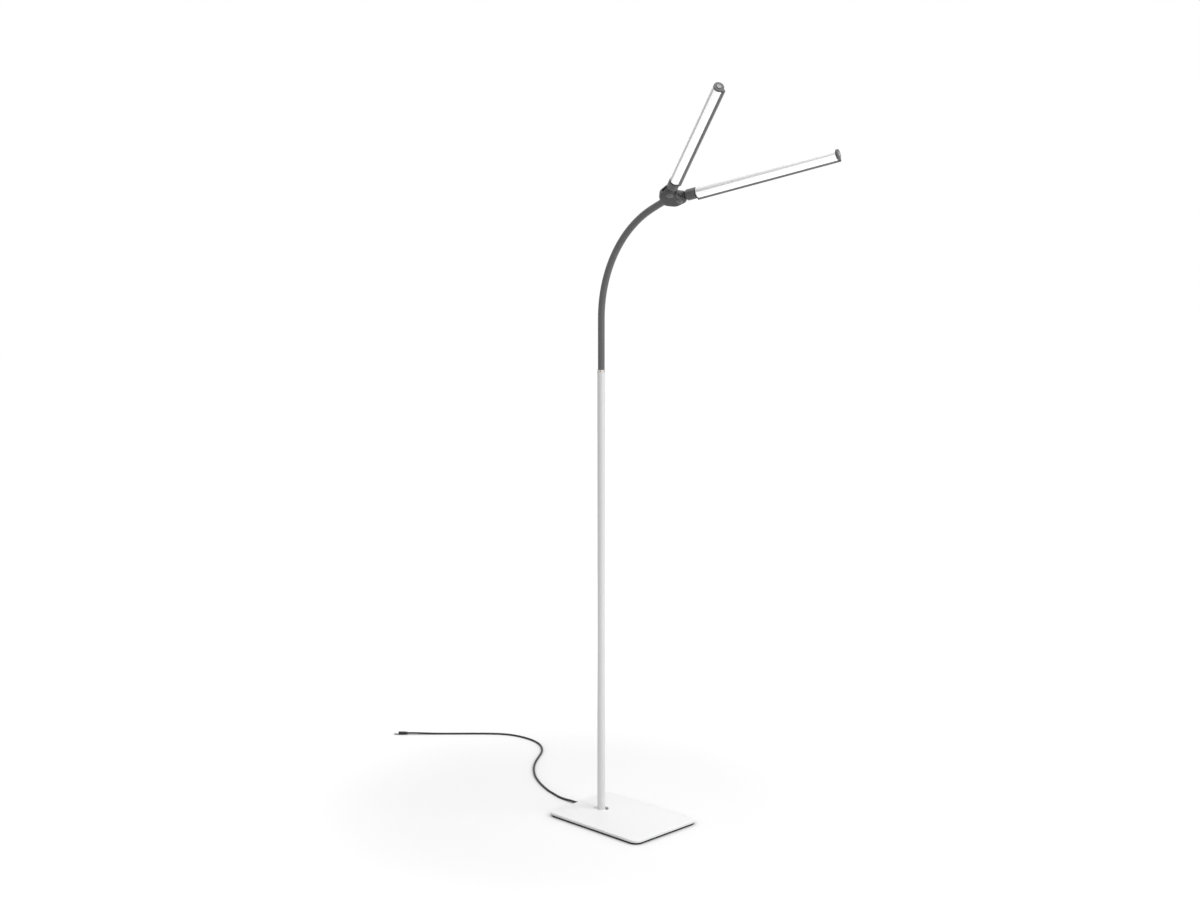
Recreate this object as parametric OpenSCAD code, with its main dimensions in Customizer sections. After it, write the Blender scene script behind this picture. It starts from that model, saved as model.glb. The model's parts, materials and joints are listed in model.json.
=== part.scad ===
// Reading floor lamp: a flat base, a slim pole, a gooseneck and a hub with two swinging bar lights.
// Millimetres, +Z up. The origin is on the floor, on the pole's axis. +X runs along the base's long
// side, from the pole towards the lights. Everything stands as it does at rest, neck bent forward.

/* [Base] */
// Length of the base along X
base_length = 248; // [200:1:320]
// Width of the base along Y
base_width = 180; // [140:1:240]
// Radius of the base's corners
base_corner = 16; // [8:1:30]
// Distance from the back edge to the pole's axis
pole_setback = 63.6; // [50:0.1:80]
// Thickness of the white plate
plate_thickness = 5; // [4.5:0.1:8]
// Rounding of the plate's edges
plate_edge = 0.8; // [0.3:0.1:1.5]
// Thickness of the dark pad under the plate
pad_thickness = 3.5; // [3.4:0.1:5]
// How far the pad's edge stands back under the plate
pad_inset = 1.5; // [0.5:0.1:4]
// Diameter of the round dish in which the pole stands
dish_diameter = 31; // [26:0.5:40]
// Depth of the dish
dish_depth = 0.8; // [0.4:0.1:1.2]
// Diameter of the nut pocket under the plate
pocket_diameter = 24; // [22:0.5:30]
// Depth of the nut pocket in the plate
pocket_depth = 2.4; // [2.2:0.1:2.6]
// Width of the lead's channel
channel_width = 6.4; // [6:0.1:10]
// Depth of the lead's channel in the plate
channel_rise = 3.2; // [3.1:0.1:3.5]
// Thickness of the pad under the lead and the nut
pad_skin = 0.6; // [0.3:0.1:0.6]

/* [Pole] */
// Outer diameter of the pole
pole_diameter = 16; // [15:0.5:22]
// Wall of the pole
pole_wall = 1.2; // [0.8:0.1:1.5]
// Height of the pole's rim above the floor
pole_top = 915; // [700:1:930]
// Length of the threaded foot in the pole
foot_length = 24; // [15:1:60]
// Outer diameter of the hollow nipple
nipple_diameter = 9.6; // [9:0.1:11]
// Bore of the nipple
nipple_bore = 6.5; // [6:0.1:7.5]
// How far the nipple stands up into the foot
nipple_reach = 18; // [10:1:30]
// Width of the nut across its flats
nut_width = 16; // [14:0.5:19]
// Thickness of the nut
nut_thickness = 1.7; // [1.4:0.1:1.8]
// Diameter of the washer
washer_diameter = 20; // [18:0.5:21]
// Thickness of the washer
washer_thickness = 0.5; // [0.4:0.1:0.6]
// Number of pins round the rim
pin_count = 6; // [3:1:8]
// Diameter of a rim pin
pin_diameter = 3; // [2:0.1:3.4]
// Depth of the pin's seat in the neck
pin_seat = 1.4; // [0.8:0.1:2]
// Distance from the pole's rim down to the middle of the pins
pin_drop = 2.6; // [2.4:0.1:6]

/* [Gooseneck] */
// Diameter of the gooseneck
neck_diameter = 13.5; // [11:0.1:13.5]
// Length of the neck's end inside the pole
neck_seat = 24; // [15:1:60]
// Height at which the neck's curve starts
curve_start = 1016; // [1000:1:1100]
// Radius of the neck's curve
curve_radius = 245; // [200:1:320]
// Number of links that bend forwards
bend_links = 8; // [6:1:9]
// Rest angle from one bending link to the next, in degrees
link_angle = 8; // [6:0.5:9]
// Straight length between the curve and the hub
neck_reach = 30; // [25:1:60]
// Radius of a link's ball
ball_radius = 6; // [5:0.1:6]
// How far a socket's lip reaches past the middle of the ball
lip_reach = 1.2; // [0.8:0.1:1.4]
// Distance from the middle of a ball down to its link's shoulder
ball_drop = 3.2; // [3.1:0.1:4]
// Diameter of the bore through the links
neck_bore = 3.6; // [3.4:0.1:4.5]

/* [Hub] */
// Distance from the neck's visible end to the middle between the pivots
hub_reach = 34; // [34:0.5:40]
// Turn of the hub about the neck's axis, in degrees
hub_roll = 29; // [0:1:60]
// Half the distance between the two pivots
pivot_offset = 12.4; // [12:0.1:13]
// Half the hub's thickness
hub_half = 10; // [9.8:0.1:12]
// Rounding of the hub's edges
hub_edge = 6; // [4:0.5:7]
// Radius of a front lobe
lobe_radius = 13.2; // [12.9:0.1:13.4]
// Radius of a shoulder
shoulder_radius = 16; // [15:0.5:17]
// Distance of the shoulders behind the pivots
shoulder_back = 12; // [10:0.5:14]
// Distance of the shoulders from the middle
shoulder_side = 8; // [6:0.5:8]
// Radius of the hub's rear
rear_radius = 16.7; // [16:0.1:17]
// Distance of the hub's rear round behind the pivots
rear_back = 17; // [16:0.5:17]
// Radius of the ball that forms the valley between the lobes
valley_radius = 13; // [12.5:0.1:13.5]
// Distance of the valley's centre in front of the pivots
valley_ahead = 16.4; // [16:0.1:18]
// Diameter of a pivot pin
pivot_diameter = 6; // [5:0.1:7]
// Diameter of the head of a pivot pin
pivot_head_diameter = 8.8; // [8:0.1:9.5]
// Thickness of the head of a pivot pin
pivot_head = 1.9; // [1.5:0.1:2.2]
// Diameter of the domed cap over a pivot
cap_diameter = 13; // [10:0.5:13]
// Height of the domed cap
cap_rise = 1.5; // [1.2:0.1:2.5]
// Thickness of a friction washer
friction_thickness = 0.6; // [0.4:0.1:0.8]
// Diameter of the stem on which the hub turns
stem_diameter = 9; // [8:0.1:10]
// Diameter of the flange that holds the hub on the stem
flange_diameter = 12.6; // [12:0.1:14]
// Thickness of that flange
flange_thickness = 2.4; // [2:0.1:3]
// How far the stem reaches into the hub
stem_reach = 11; // [10:0.5:12]
// Diameter of the hub's screws
screw_diameter = 2.6; // [2:0.1:3]
// Head diameter of the hub's screws
screw_head_diameter = 4.8; // [4:0.1:5.5]
// Length and width of the wire board
board_size = [7, 12]; // [5:0.5:12]
// Thickness of a circuit board
board_thickness = 1.2; // [0.8:0.1:1.6]

/* [Arms] */
// Rest angle of arm A from the neck's direction, in degrees
swing_angle_a = 26.4; // [12:0.1:80]
// Rest angle of arm B from the neck's direction, in degrees
swing_angle_b = 20.9; // [12:0.1:80]
// Smallest angle of an arm from the neck's direction
swing_angle_min = 10; // [10:1:12]
// Largest angle of an arm from the neck's direction
swing_angle_max = 90; // [80:1:90]
// Angle at which a rim slot ends behind the arm
slot_end_angle = 136; // [120:1:138]
// Radius of the knuckle's disc
knuckle_radius = 11.4; // [9:0.1:11.5]
// Thickness of the knuckle
knuckle_thickness = 6; // [5:0.1:7]
// Half the width of the knuckle's tongue
tongue_half = 5; // [4:0.1:5]
// Radius of the knuckle's stem, about which the bar turns
axle_radius = 4; // [3.5:0.1:4.4]
// Diameter of the collar
collar_diameter = 21.5; // [18:0.5:22]
// Distance from the pivot to the collar's near face
collar_start = 13.9; // [13.8:0.1:15]
// Distance from the pivot to the collar's far face
collar_end = 34; // [32:0.5:38]
// Chamfer of the collar's near edge
collar_chamfer = 2; // [1.5:0.1:2.5]
// Thickness of the collar's closed end
collar_floor = 2.6; // [2:0.1:3.5]
// Thickness of the retaining clip
clip_thickness = 0.8; // [0.6:0.1:1]

/* [Bars] */
// Distance from the pivot to the tip of a bar
bar_reach = 324; // [260:1:420]
// Turn of both bars about their own axes, in degrees
bar_turn = 51; // [0:1:90]
// Radius of a bar's round side
bar_radius = 9.7; // [9.4:0.1:9.8]
// Distance from a bar's axis to its sharp edge
tail_reach = 14.1; // [13:0.1:16]
// Width of the sharp edge
tail_width = 4.2; // [2.6:0.1:4.6]
// Angle at which the flanks of the sharp edge leave the round side
tail_root_angle = 25; // [24:1:30]
// Distance from a bar's axis to the rail's inner face
rail_start = 9.9; // [9.8:0.1:11]
// Wall of a bar's housing and diffuser
bar_wall = 1.2; // [1:0.1:1.5]
// Angle from the sharp edge round to the seam, in degrees
seam_angle = 105; // [100:1:120]
// Thickness of the bar's inner cap
inner_cap = 2.5; // [2:0.1:3.5]
// Radius of the bush on the inner cap
bush_radius = 6.4; // [5.8:0.1:6.8]
// Thickness of the bar's end cap
end_cap = 4; // [3.6:0.1:5]
// Distance from one light chip to the next
chip_pitch = 9.6; // [8:0.1:15]
// Length, width and height of a light chip
chip_size = [3, 3, 0.7]; // [0.4:0.1:4]
// Width of the light board
strip_width = 7; // [6:0.1:7.4]
// Diameter of the push button
button_diameter = 9; // [8:0.1:10]
// Diameter of the button's flange
button_flange = 10.8; // [10.4:0.1:11.5]
// Thickness of the button's flange
button_flange_thickness = 0.9; // [0.7:0.1:1]
// How far the button stands out of the end cap
button_proud = 1; // [0.9:0.1:1.5]
// Travel of the button
button_travel = 0.8; // [0.5:0.1:0.8]
// Width and depth of the push switch
switch_width = 6; // [5:0.1:6]
// Length of the push switch
switch_length = 3.5; // [3:0.1:5]

/* [Cord] */
// Diameter of the cord
cord_diameter = 4; // [3.5:0.1:4]
// Diameter of the supply lead inside the stand
lead_diameter = 2.4; // [2:0.1:2.4]
// Diameter of the strain relief where it meets the base
relief_diameter = 5.8; // [5:0.1:5.9]
// Diameter of the connector's grip
grip_diameter = 7.2; // [6.5:0.1:7.3]
// Length of the connector's grip
grip_length = 22; // [16:0.5:30]
// Diameter of the connector's barrel
barrel_diameter = 5.5; // [3.5:0.1:5.5]
// Length of the connector's barrel
barrel_length = 9.5; // [8:0.1:12]
// Diameter of the hole in the barrel
barrel_bore = 2.5; // [1.3:0.1:3]

/* [Fits] */
// Radial clearance of a turning or sliding fit
running_gap = 0.05; // [0.02:0.01:0.08]
// Clearance between two parts that pass each other
pass_gap = 0.3; // [0.2:0.05:0.4]

/* [Hidden] */
SIDES = ["a", "b"];
LINKS = [1 : bend_links + 2];

// How far a cut runs past the face it opens
overrun = 1;
// Facets of the children of a hull, and of every true round
hull_fn = 32;
$fn = 96;

// Base: heights of the plate's faces and of the dish's floor
plate_low = pad_thickness;
plate_high = pad_thickness + plate_thickness;
dish_floor = plate_high - dish_depth;
pocket_roof = plate_low + pocket_depth;
base_back = -pole_setback;
base_front = base_length - pole_setback;
// The crescent opening beside the pole, as angles about the pole
crescent_angle_from = 20;
crescent_angle_to = 150;
// Clear width left between the crescent and the dish's wall, and the pole
crescent_margin = 0.8;

// How far the strain relief reaches in under the plate, and the lead into the strain relief
relief_inner = 6;
relief_bore = 2;
// Clearance of the lead above the pad's skin, the radius of its bend and the steps of that bend
lead_clear = 0.1;
lead_bend = 4.5;
lead_turn_steps = 5;

// Pole
pole_radius = pole_diameter / 2;
pole_inner = pole_radius - pole_wall;
nut_low = pocket_roof - washer_thickness - nut_thickness;
foot_thread = nipple_diameter / 2;
pin_height = pole_top - pin_drop;

// Neck: the polygon of straight links lies round the arc
neck_radius = neck_diameter / 2;
socket_radius = ball_radius + running_gap;
vertex_radius = curve_radius / cos(link_angle / 2);
link_pitch = 2 * curve_radius * tan(link_angle / 2);
bend_total = bend_links * link_angle;
neck_direction = [sin(bend_total), 0, cos(bend_total)];
neck_end = [
    curve_radius * (1 - cos(bend_total)) + neck_reach * neck_direction[0],
    0,
    curve_start + curve_radius * sin(bend_total) + neck_reach * neck_direction[2]];
last_link = curve_radius * tan(link_angle / 2) + neck_reach;
root_bottom = pole_top - neck_seat;
first_height = curve_start + curve_radius * tan(link_angle / 2) - 2 * link_pitch;
// How far the lead stands in the neck's lower end
lead_seat = 8;

// Hub: X forward along the neck, Y towards arm B, Z away from the capped face
hub_at = neck_end + hub_reach * neck_direction;
seat_half = knuckle_thickness / 2 + friction_thickness + 2 * running_gap;
seat_radius = knuckle_radius + pass_gap;
slot_half = knuckle_thickness / 2 + pass_gap;
// Angle left free beside the tongue at the slot's front end
slot_margin_angle = 3;
slot_reach = 2 * rear_back;
tongue_spread = asin(tongue_half / seat_radius) + slot_margin_angle;
pivot_end = hub_half - pivot_head;
stem_end = -hub_reach + stem_reach + flange_thickness;
board_gap = 0.25;
board_back = stem_end + board_gap;
// Place of the hub's screws, the length of their shanks and the height of their heads
screw_back = 19;
screw_side = 14;
screw_length = 13.5;
screw_head = 2;

// Arms and bars
swing_angles = [swing_angle_a, swing_angle_b];
side_sign = [-1, 1];
cap_start = collar_end + pass_gap;
shell_start = cap_start + inner_cap;
shell_end = bar_reach - end_cap;
axle_end = shell_start + pass_gap + clip_thickness + 0.8 * axle_radius;
clip_start = shell_start + pass_gap;
clip_seat = 0.8 * axle_radius;
clip_radius = axle_radius + 1.4 * clip_thickness;
web_start = axle_end + overrun;
tail_half = tail_width / 2;
tail_root = bar_radius * [cos(tail_root_angle), sin(tail_root_angle)];
flank = [tail_reach, tail_half] - tail_root;
flank_angle = 90 + atan2(flank[1], flank[0]);
flank_depth = bar_radius - tail_root * [cos(flank_angle), sin(flank_angle)];
seam_point = bar_radius * [cos(seam_angle), -sin(seam_angle)];
chord = [rail_start, 0] - seam_point;
chord_turn = atan2(chord[1], chord[0]) - 90;
chord_reach = rail_start * cos(chord_turn);
button_radius = button_diameter / 2;
button_floor = bar_reach - end_cap / 2;
button_pocket = button_flange / 2 + pass_gap;
button_flange_low = button_floor - running_gap - button_flange_thickness;
switch_front = shell_end - running_gap;
switch_back = switch_front - switch_length;
strip_end = switch_back - board_thickness;
chip_count = floor((strip_end - web_start - chip_pitch) / chip_pitch);

// Cord: the route of its middle line, from the strain relief to the connector
cord_route = [
    [-82, 0, 3.6], [-87, 0, 3.6], [-94, 0, 3.3], [-105, 0, 2.7], [-118, 1, 2.2], [-134, 4, 2],
    [-152, 9, 2], [-170, 14, 2], [-190, 22, 2], [-212, 32, 2], [-236, 45, 2], [-258, 59, 2],
    [-280, 76, 2], [-300, 94, 2], [-319, 114, 2], [-337, 137, 2], [-353, 160, 2], [-370, 184, 2],
    [-391, 205, 2], [-414, 220, 2], [-437, 228, 2], [-460, 231, 2], [-483, 230, 2],
    [-504, 226, 2], [-522, 219, 2], [-538, 209, 2], [-555, 195, 2], [-575, 176, 2],
    [-600, 151, 2], [-625, 126, 2], [-645, 106, 2.2], [-660, 91, 2.8], [-671, 80, 3.4],
    [-681, 70, 3.7], [-689, 62, 3.7]];
cord_sides = 8;
cord_steps = 2;
cord_start = cord_route[0];
relief_root = base_back + relief_inner;
grip_at = cord_route[len(cord_route) - 1];
grip_turn = -135;

// Lead: through the channel, up through the nipple and the pole, into the neck's lower end
lead_low = pad_skin + lead_diameter / 2 + lead_clear;
lead_route = concat(
    [
        [relief_root - relief_bore, 0, cord_start[2]],
        [relief_root + relief_inner, 0, cord_start[2]],
        [-nut_width, 0, lead_low]],
    [for (t = [0 : 90 / lead_turn_steps : 90])
        [-lead_bend + lead_bend * sin(t), 0, lead_low + lead_bend - lead_bend * cos(t)]],
    [[0, 0, pole_top / 2], [0, 0, root_bottom + lead_seat]]);

// Sweep of a round tube along a list of points

// Point of a smooth curve through p, between points i and i + 1, at share t
function curve_point(p, i, t) =
    let (n = len(p) - 1)
    let (a = p[max(i - 1, 0)], b = p[i], c = p[min(i + 1, n)], d = p[min(i + 2, n)])
    0.5 * (2 * b + (c - a) * t + (2 * a - 5 * b + 4 * c - d) * t * t
        + (3 * b - a - 3 * c + d) * t * t * t);

// The points of p with steps pieces to every stretch
function smooth_route(p, steps) = concat(
    [for (i = [0 : len(p) - 2], k = [0 : steps - 1]) curve_point(p, i, k / steps)],
    [p[len(p) - 1]]);

function unit(v) = v / norm(v);

// A ring of points round point i of path p
function ring(p, i, r, sides, up) =
    let (along = unit(p[min(i + 1, len(p) - 1)] - p[max(i - 1, 0)]))
    let (across = unit(cross(along, up)))
    let (over = cross(across, along))
    [for (k = [0 : sides - 1])
        let (a = 360 * (k + 0.5) / sides)
        p[i] + r * cos(a) * across + r * sin(a) * over];

// Closed tube of radius r along path p
module tube(p, r, sides, up) {
    rings = len(p);
    points = [for (i = [0 : rings - 1]) each ring(p, i, r, sides, up)];
    walls = [for (i = [0 : rings - 2], k = [0 : sides - 1])
        let (n = (k + 1) % sides)
        each [
            [i * sides + k, i * sides + n, (i + 1) * sides + n],
            [i * sides + k, (i + 1) * sides + n, (i + 1) * sides + k]]];
    ends = [
        [for (k = [sides - 1 : -1 : 0]) k],
        [for (k = [0 : sides - 1]) (rings - 1) * sides + k]];
    polyhedron(points, concat(walls, ends));
}

// Shared forms

// Outline of a slab's edge: thickness t, half width h, both edges rounded by r
module slab_section(h, t, r) {
    translate([-h + r, 0]) square([2 * (h - r), t]);
    translate([-h, r]) square([2 * h, t - 2 * r]);
    for (x = [-h + r, h - r])
        for (y = [r, t - r])
            translate([x, y]) circle(r);
}

// Slab with rounded corners and rounded edges, from the base's back to its front
module rounded_slab(inset, t, r) {
    x0 = base_back + inset;
    x1 = base_front - inset;
    half = base_width / 2 - inset;
    corner = base_corner - inset;
    translate([x0 + corner, 0, 0]) rotate([90, 0, 90])
        linear_extrude(x1 - x0 - 2 * corner) slab_section(half, t, r);
    translate([(x0 + x1) / 2, half - corner, 0]) rotate([90, 0, 0])
        linear_extrude(2 * (half - corner)) slab_section((x1 - x0) / 2, t, r);
    for (x = [x0 + corner, x1 - corner])
        for (y = [-half + corner, half - corner])
            translate([x, y, 0])
                rotate_extrude()
                    intersection() {
                        slab_section(corner, t, r);
                        square([corner, t]);
                    }
}

// Ring from radius r0 to r1
module ring_of(r0, r1, h) {
    difference() {
        cylinder(r = r1, h = h);
        translate([0, 0, -overrun]) cylinder(r = r0, h = h + 2 * overrun);
    }
}

// Places

// The end of the neck's straight links: k = 1 and 2 stand in line, the others follow the arc
function vertex(k) = k < 3
    ? [0, 0, first_height + (k - 1) * link_pitch]
    : let (turn = (k - 2.5) * link_angle)
        [curve_radius - vertex_radius * cos(turn), 0, curve_start + vertex_radius * sin(turn)];

// Frame of link k: its lower ball centre at the origin, the link along Z
module at_link(k) {
    translate(vertex(k)) rotate([0, max(k - 2, 0) * link_angle, 0]) children();
}

// Frame of the hub
module in_hub() {
    translate(hub_at)
        rotate([0, bend_total, 0]) rotate([0, 0, -hub_roll]) rotate([0, -90, 0])
            children();
}

// Frame of an arm: its pivot at the origin, the arm along X, the pivot along Z
module in_arm(i) {
    in_hub() translate([0, side_sign[i] * pivot_offset, 0]) rotate([0, 0, side_sign[i] * swing_angles[i]])
        children();
}

// Frame of a bar: the bar along Z, its sharp edge towards X
module in_bar(i) {
    in_arm(i) rotate([0, 90, 0]) rotate([0, 0, bar_turn]) children();
}

// Base

// Painted steel plate: the dish, the crescent opening, the nipple's hole, the pocket and channel
module base_plate() {
    dish = dish_diameter / 2;
    color("white")
        difference() {
            translate([0, 0, plate_low]) rounded_slab(0, plate_thickness, plate_edge);
            translate([0, 0, dish_floor]) cylinder(r = dish, h = dish_depth + overrun);
            translate([0, 0, -overrun])
                cylinder(r = foot_thread + running_gap, h = plate_high + 2 * overrun);
            cylinder(d = pocket_diameter, h = pocket_roof);
            lead_channel(-overrun, plate_low + channel_rise);
            translate([0, 0, pocket_roof - overrun])
                rotate([0, 0, crescent_angle_from])
                    rotate_extrude(angle = crescent_angle_to - crescent_angle_from)
                        translate([pole_radius + crescent_margin, 0])
                            square([dish - pole_radius - 2 * crescent_margin, plate_thickness]);
        }
}

// Channel for the lead, open at the back edge, from height low up to height high
module lead_channel(low, high) {
    translate([base_back - overrun, -channel_width / 2, low])
        cube([pole_setback + overrun, channel_width, high - low]);
}

// Dark pad that the lamp stands on
module base_pad() {
    color("dimgray")
        difference() {
            rounded_slab(pad_inset, pad_thickness, plate_edge);
            translate([0, 0, pad_skin]) cylinder(d = pocket_diameter, h = pad_thickness);
            lead_channel(pad_skin, pad_thickness + overrun);
        }
}

// Pole

// Tube from the dish's floor to the rim, with a hole for each pin
module pole_tube() {
    color("gainsboro")
        difference() {
            translate([0, 0, dish_floor])
                ring_of(pole_inner, pole_radius, pole_top - dish_floor);
            for_each_pin()
                cylinder(d = pin_diameter + 2 * running_gap, h = pole_radius);
        }
}

// Repeats children round the rim, each along its own radius, from the neck's seat outwards
module for_each_pin() {
    for (k = [0 : pin_count - 1])
        rotate([0, 0, 360 * k / pin_count])
            translate([neck_radius - pin_seat, 0, pin_height])
                rotate([0, 90, 0])
                    children();
}

// Small brass pins that hold the neck's end in the rim
module rim_pins() {
    color("peru")
        for_each_pin()
            cylinder(d = pin_diameter, h = pole_radius - neck_radius + pin_seat);
}

// Threaded foot, pressed into the pole's lower end
module pole_foot() {
    color("silver")
        translate([0, 0, dish_floor])
            ring_of(foot_thread + running_gap, pole_inner - running_gap, foot_length);
}

// Hollow threaded nipple through the plate
module pole_nipple() {
    color("goldenrod")
        translate([0, 0, nut_low])
            ring_of(nipple_bore / 2, foot_thread, dish_floor + nipple_reach - nut_low);
}

// Washer against the pocket's roof
module pole_washer() {
    color("silver")
        translate([0, 0, pocket_roof - washer_thickness])
            ring_of(foot_thread + running_gap, washer_diameter / 2, washer_thickness);
}

// Six-sided nut below the washer
module pole_nut() {
    corner = nut_width / 2 / cos(30);
    color("goldenrod")
        translate([0, 0, nut_low])
            difference() {
                cylinder(r = corner, h = nut_thickness, $fn = 6);
                translate([0, 0, -overrun])
                    cylinder(r = foot_thread + running_gap, h = nut_thickness + 2 * overrun);
            }
}

// Cord and lead

// Two-core lead inside the stand
module supply_lead() {
    color("black")
        tube(lead_route, lead_diameter / 2, cord_sides, [0, 1, 0]);
}

// Tapered sleeve where the cord leaves the base
module strain_relief() {
    color([0.2, 0.2, 0.2])
        translate([relief_root, cord_start[1], cord_start[2]])
            rotate([0, -90, 0])
                difference() {
                    cylinder(
                        d1 = relief_diameter,
                        d2 = cord_diameter + pass_gap,
                        h = relief_root - cord_start[0]);
                    translate([0, 0, -overrun])
                        cylinder(d = lead_diameter + 2 * running_gap, h = relief_bore + overrun);
                }
}

// Cord on the floor
module power_cord() {
    color([0.2, 0.2, 0.2])
        tube(smooth_route(cord_route, cord_steps), cord_diameter / 2, cord_sides, [0, 0, 1]);
}

// Frame of the connector: its axis along Z, from the cord's end outwards
module at_connector() {
    translate(grip_at) rotate([0, 0, grip_turn]) rotate([0, 90, 0]) children();
}

// Moulded grip, waisted behind the barrel
module connector_grip() {
    full = grip_diameter / 2;
    slim = cord_diameter / 2 + pass_gap;
    color([0.15, 0.15, 0.15])
        at_connector()
            difference() {
                rotate_extrude()
                    polygon([
                        [0, 0], [slim, 0], [full, grip_length / 3], [full, grip_length - full],
                        [full - slim / 4, grip_length], [0, grip_length]]);
                translate([0, 0, grip_length - full])
                    cylinder(d = barrel_diameter - 2 * pass_gap, h = full + overrun);
            }
}

// Hollow metal barrel on a narrower shank that stands in the grip
module connector_barrel() {
    full = grip_diameter / 2;
    color("silver")
        at_connector()
            translate([0, 0, grip_length - full])
                difference() {
                    union() {
                        cylinder(d = barrel_diameter - 2 * pass_gap, h = full + barrel_length);
                        translate([0, 0, full]) cylinder(d = barrel_diameter, h = barrel_length);
                    }
                    translate([0, 0, full])
                        cylinder(d = barrel_bore, h = barrel_length + overrun);
                }
}

// Gooseneck

// Body of a link from height from up to its ball's centre at height to
module ball_end(from, to) {
    translate([0, 0, from]) cylinder(r = neck_radius, h = to - ball_drop - from);
    translate([0, 0, to]) sphere(ball_radius);
}

// Rigid lower end: seated in the pole, with blind holes for the pins and a bore for the lead
module neck_root() {
    color([0.35, 0.35, 0.36])
        difference() {
            ball_end(root_bottom, first_height);
            for_each_pin()
                cylinder(d = pin_diameter + 2 * running_gap, h = pin_seat + overrun);
            translate([0, 0, root_bottom - overrun])
                cylinder(d = neck_bore, h = first_height);
        }
}

// One link: a socket below and a ball above; the last one carries the stem and its flange
module neck_link(k) {
    color([0.35, 0.35, 0.36])
        at_link(k)
            difference() {
                if (k == bend_links + 2) hub_stem();
                else ball_end(-lip_reach, link_pitch);
                sphere(socket_radius);
                translate([0, 0, -overrun]) cylinder(d = neck_bore, h = hub_reach + 2 * last_link);
            }
}

// Upper end of the last link, with the stem and the flange on which the hub turns
module hub_stem() {
    translate([0, 0, -lip_reach]) cylinder(r = neck_radius, h = last_link + lip_reach);
    cylinder(d = stem_diameter, h = last_link + stem_reach + flange_thickness);
    translate([0, 0, last_link + stem_reach])
        cylinder(d = flange_diameter, h = flange_thickness);
}

// Hub

// Half of a rounded puck of radius r, from the split face up
module half_puck(r) {
    rotate_extrude($fn = hull_fn)
        polygon(concat(
            [[0, 0], [r, 0]],
            [for (a = [0 : 15 : 90])
                [r - hub_edge + hub_edge * cos(a), hub_half - hub_edge + hub_edge * sin(a)]],
            [[0, hub_half]]));
}

// Outer form of half the hub: two lobes, two shoulders and the rear, with a valley in front
module half_pebble() {
    difference() {
        hull() {
            for (s = side_sign) {
                translate([0, s * pivot_offset, 0]) half_puck(lobe_radius);
                translate([-shoulder_back, s * shoulder_side, 0]) half_puck(shoulder_radius);
            }
            translate([-rear_back, 0, 0]) half_puck(rear_radius);
        }
        translate([valley_ahead, 0, hub_half]) sphere(valley_radius);
    }
}

// The hollow of half the hub: knuckle seats, rim slots, stem bore, flange groove and board pocket
module half_hollow() {
    for (i = [0, 1]) {
        s = side_sign[i];
        from = swing_angle_min - tongue_spread;
        translate([0, s * pivot_offset, -overrun]) {
            cylinder(r = seat_radius, h = seat_half + overrun);
            rotate([0, 0, s > 0 ? from : -slot_end_angle])
                rotate_extrude(angle = slot_end_angle - from)
                    square([slot_reach, slot_half + overrun]);
        }
    }
    translate([-hub_reach - overrun, 0, 0]) rotate([0, 90, 0]) {
        cylinder(d = stem_diameter + 2 * running_gap, h = stem_reach + 2 * overrun);
        translate([0, 0, overrun + stem_reach - pass_gap])
            cylinder(d = flange_diameter + 2 * pass_gap, h = flange_thickness + 2 * pass_gap);
    }
    translate([board_back - board_gap, -board_size[1] / 2 - board_gap, -overrun])
        cube([
            board_size[0] + 2 * board_gap,
            board_size[1] + 2 * board_gap,
            overrun + 2 * board_thickness]);
}

// Shell on the capped side: pin heads sit in it from outside, screws bite into it
module hub_lower_shell() {
    color([0.28, 0.28, 0.29])
        in_hub()
            mirror([0, 0, 1])
                difference() {
                    half_pebble();
                    half_hollow();
                    for (s = side_sign)
                        translate([0, s * pivot_offset, 0]) {
                            cylinder(d = pivot_diameter + 2 * running_gap, h = hub_half + overrun);
                            translate([0, 0, pivot_end])
                                cylinder(
                                    d = pivot_head_diameter + 2 * running_gap,
                                    h = pivot_head + overrun);
                        }
                    for_each_screw()
                        translate([0, 0, -overrun])
                            cylinder(
                                d = screw_diameter + 2 * running_gap,
                                h = overrun + screw_length - hub_half + screw_head);
                }
}

// Shell on the other side: the pins end in blind holes, screw heads are sunk
module hub_upper_shell() {
    color([0.3, 0.3, 0.31])
        in_hub()
            difference() {
                half_pebble();
                half_hollow();
                for (s = side_sign)
                    translate([0, s * pivot_offset, -overrun])
                        cylinder(
                            d = pivot_diameter + 2 * running_gap,
                            h = overrun + pivot_end + running_gap);
                for_each_screw() {
                    translate([0, 0, -overrun])
                        cylinder(d = screw_diameter + 2 * running_gap, h = hub_half + 2 * overrun);
                    translate([0, 0, hub_half - screw_head])
                        cylinder(d = screw_head_diameter + 2 * pass_gap, h = screw_head + overrun);
                }
            }
}

// Repeats children at the two shell screws
module for_each_screw() {
    for (s = side_sign)
        translate([-screw_back, s * screw_side, 0]) children();
}

// Shell screws, heads in the upper shell
module hub_screws() {
    color("silver")
        in_hub()
            for_each_screw() {
                translate([0, 0, hub_half - screw_head - screw_length + running_gap])
                    cylinder(d = screw_diameter, h = screw_length);
                translate([0, 0, hub_half - screw_head])
                    difference() {
                        cylinder(d = screw_head_diameter, h = screw_head - pass_gap);
                        translate([0, 0, screw_head / 2])
                            cylinder(d = screw_diameter, h = screw_head, $fn = 6);
                    }
            }
}

// Board where the lead branches to the two arms
module wire_board() {
    color("darkgreen")
        in_hub()
            translate([board_back, -board_size[1] / 2, -board_thickness / 2]) {
                cube([board_size[0], board_size[1], board_thickness]);
                for (k = [0 : 2])
                    translate([
                        board_size[0] / 4,
                        board_size[1] * (2 * k + 1) / 6 - board_thickness / 2,
                        board_thickness])
                        cube([board_size[0] / 2, board_thickness, board_thickness / 2]);
            }
}

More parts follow.
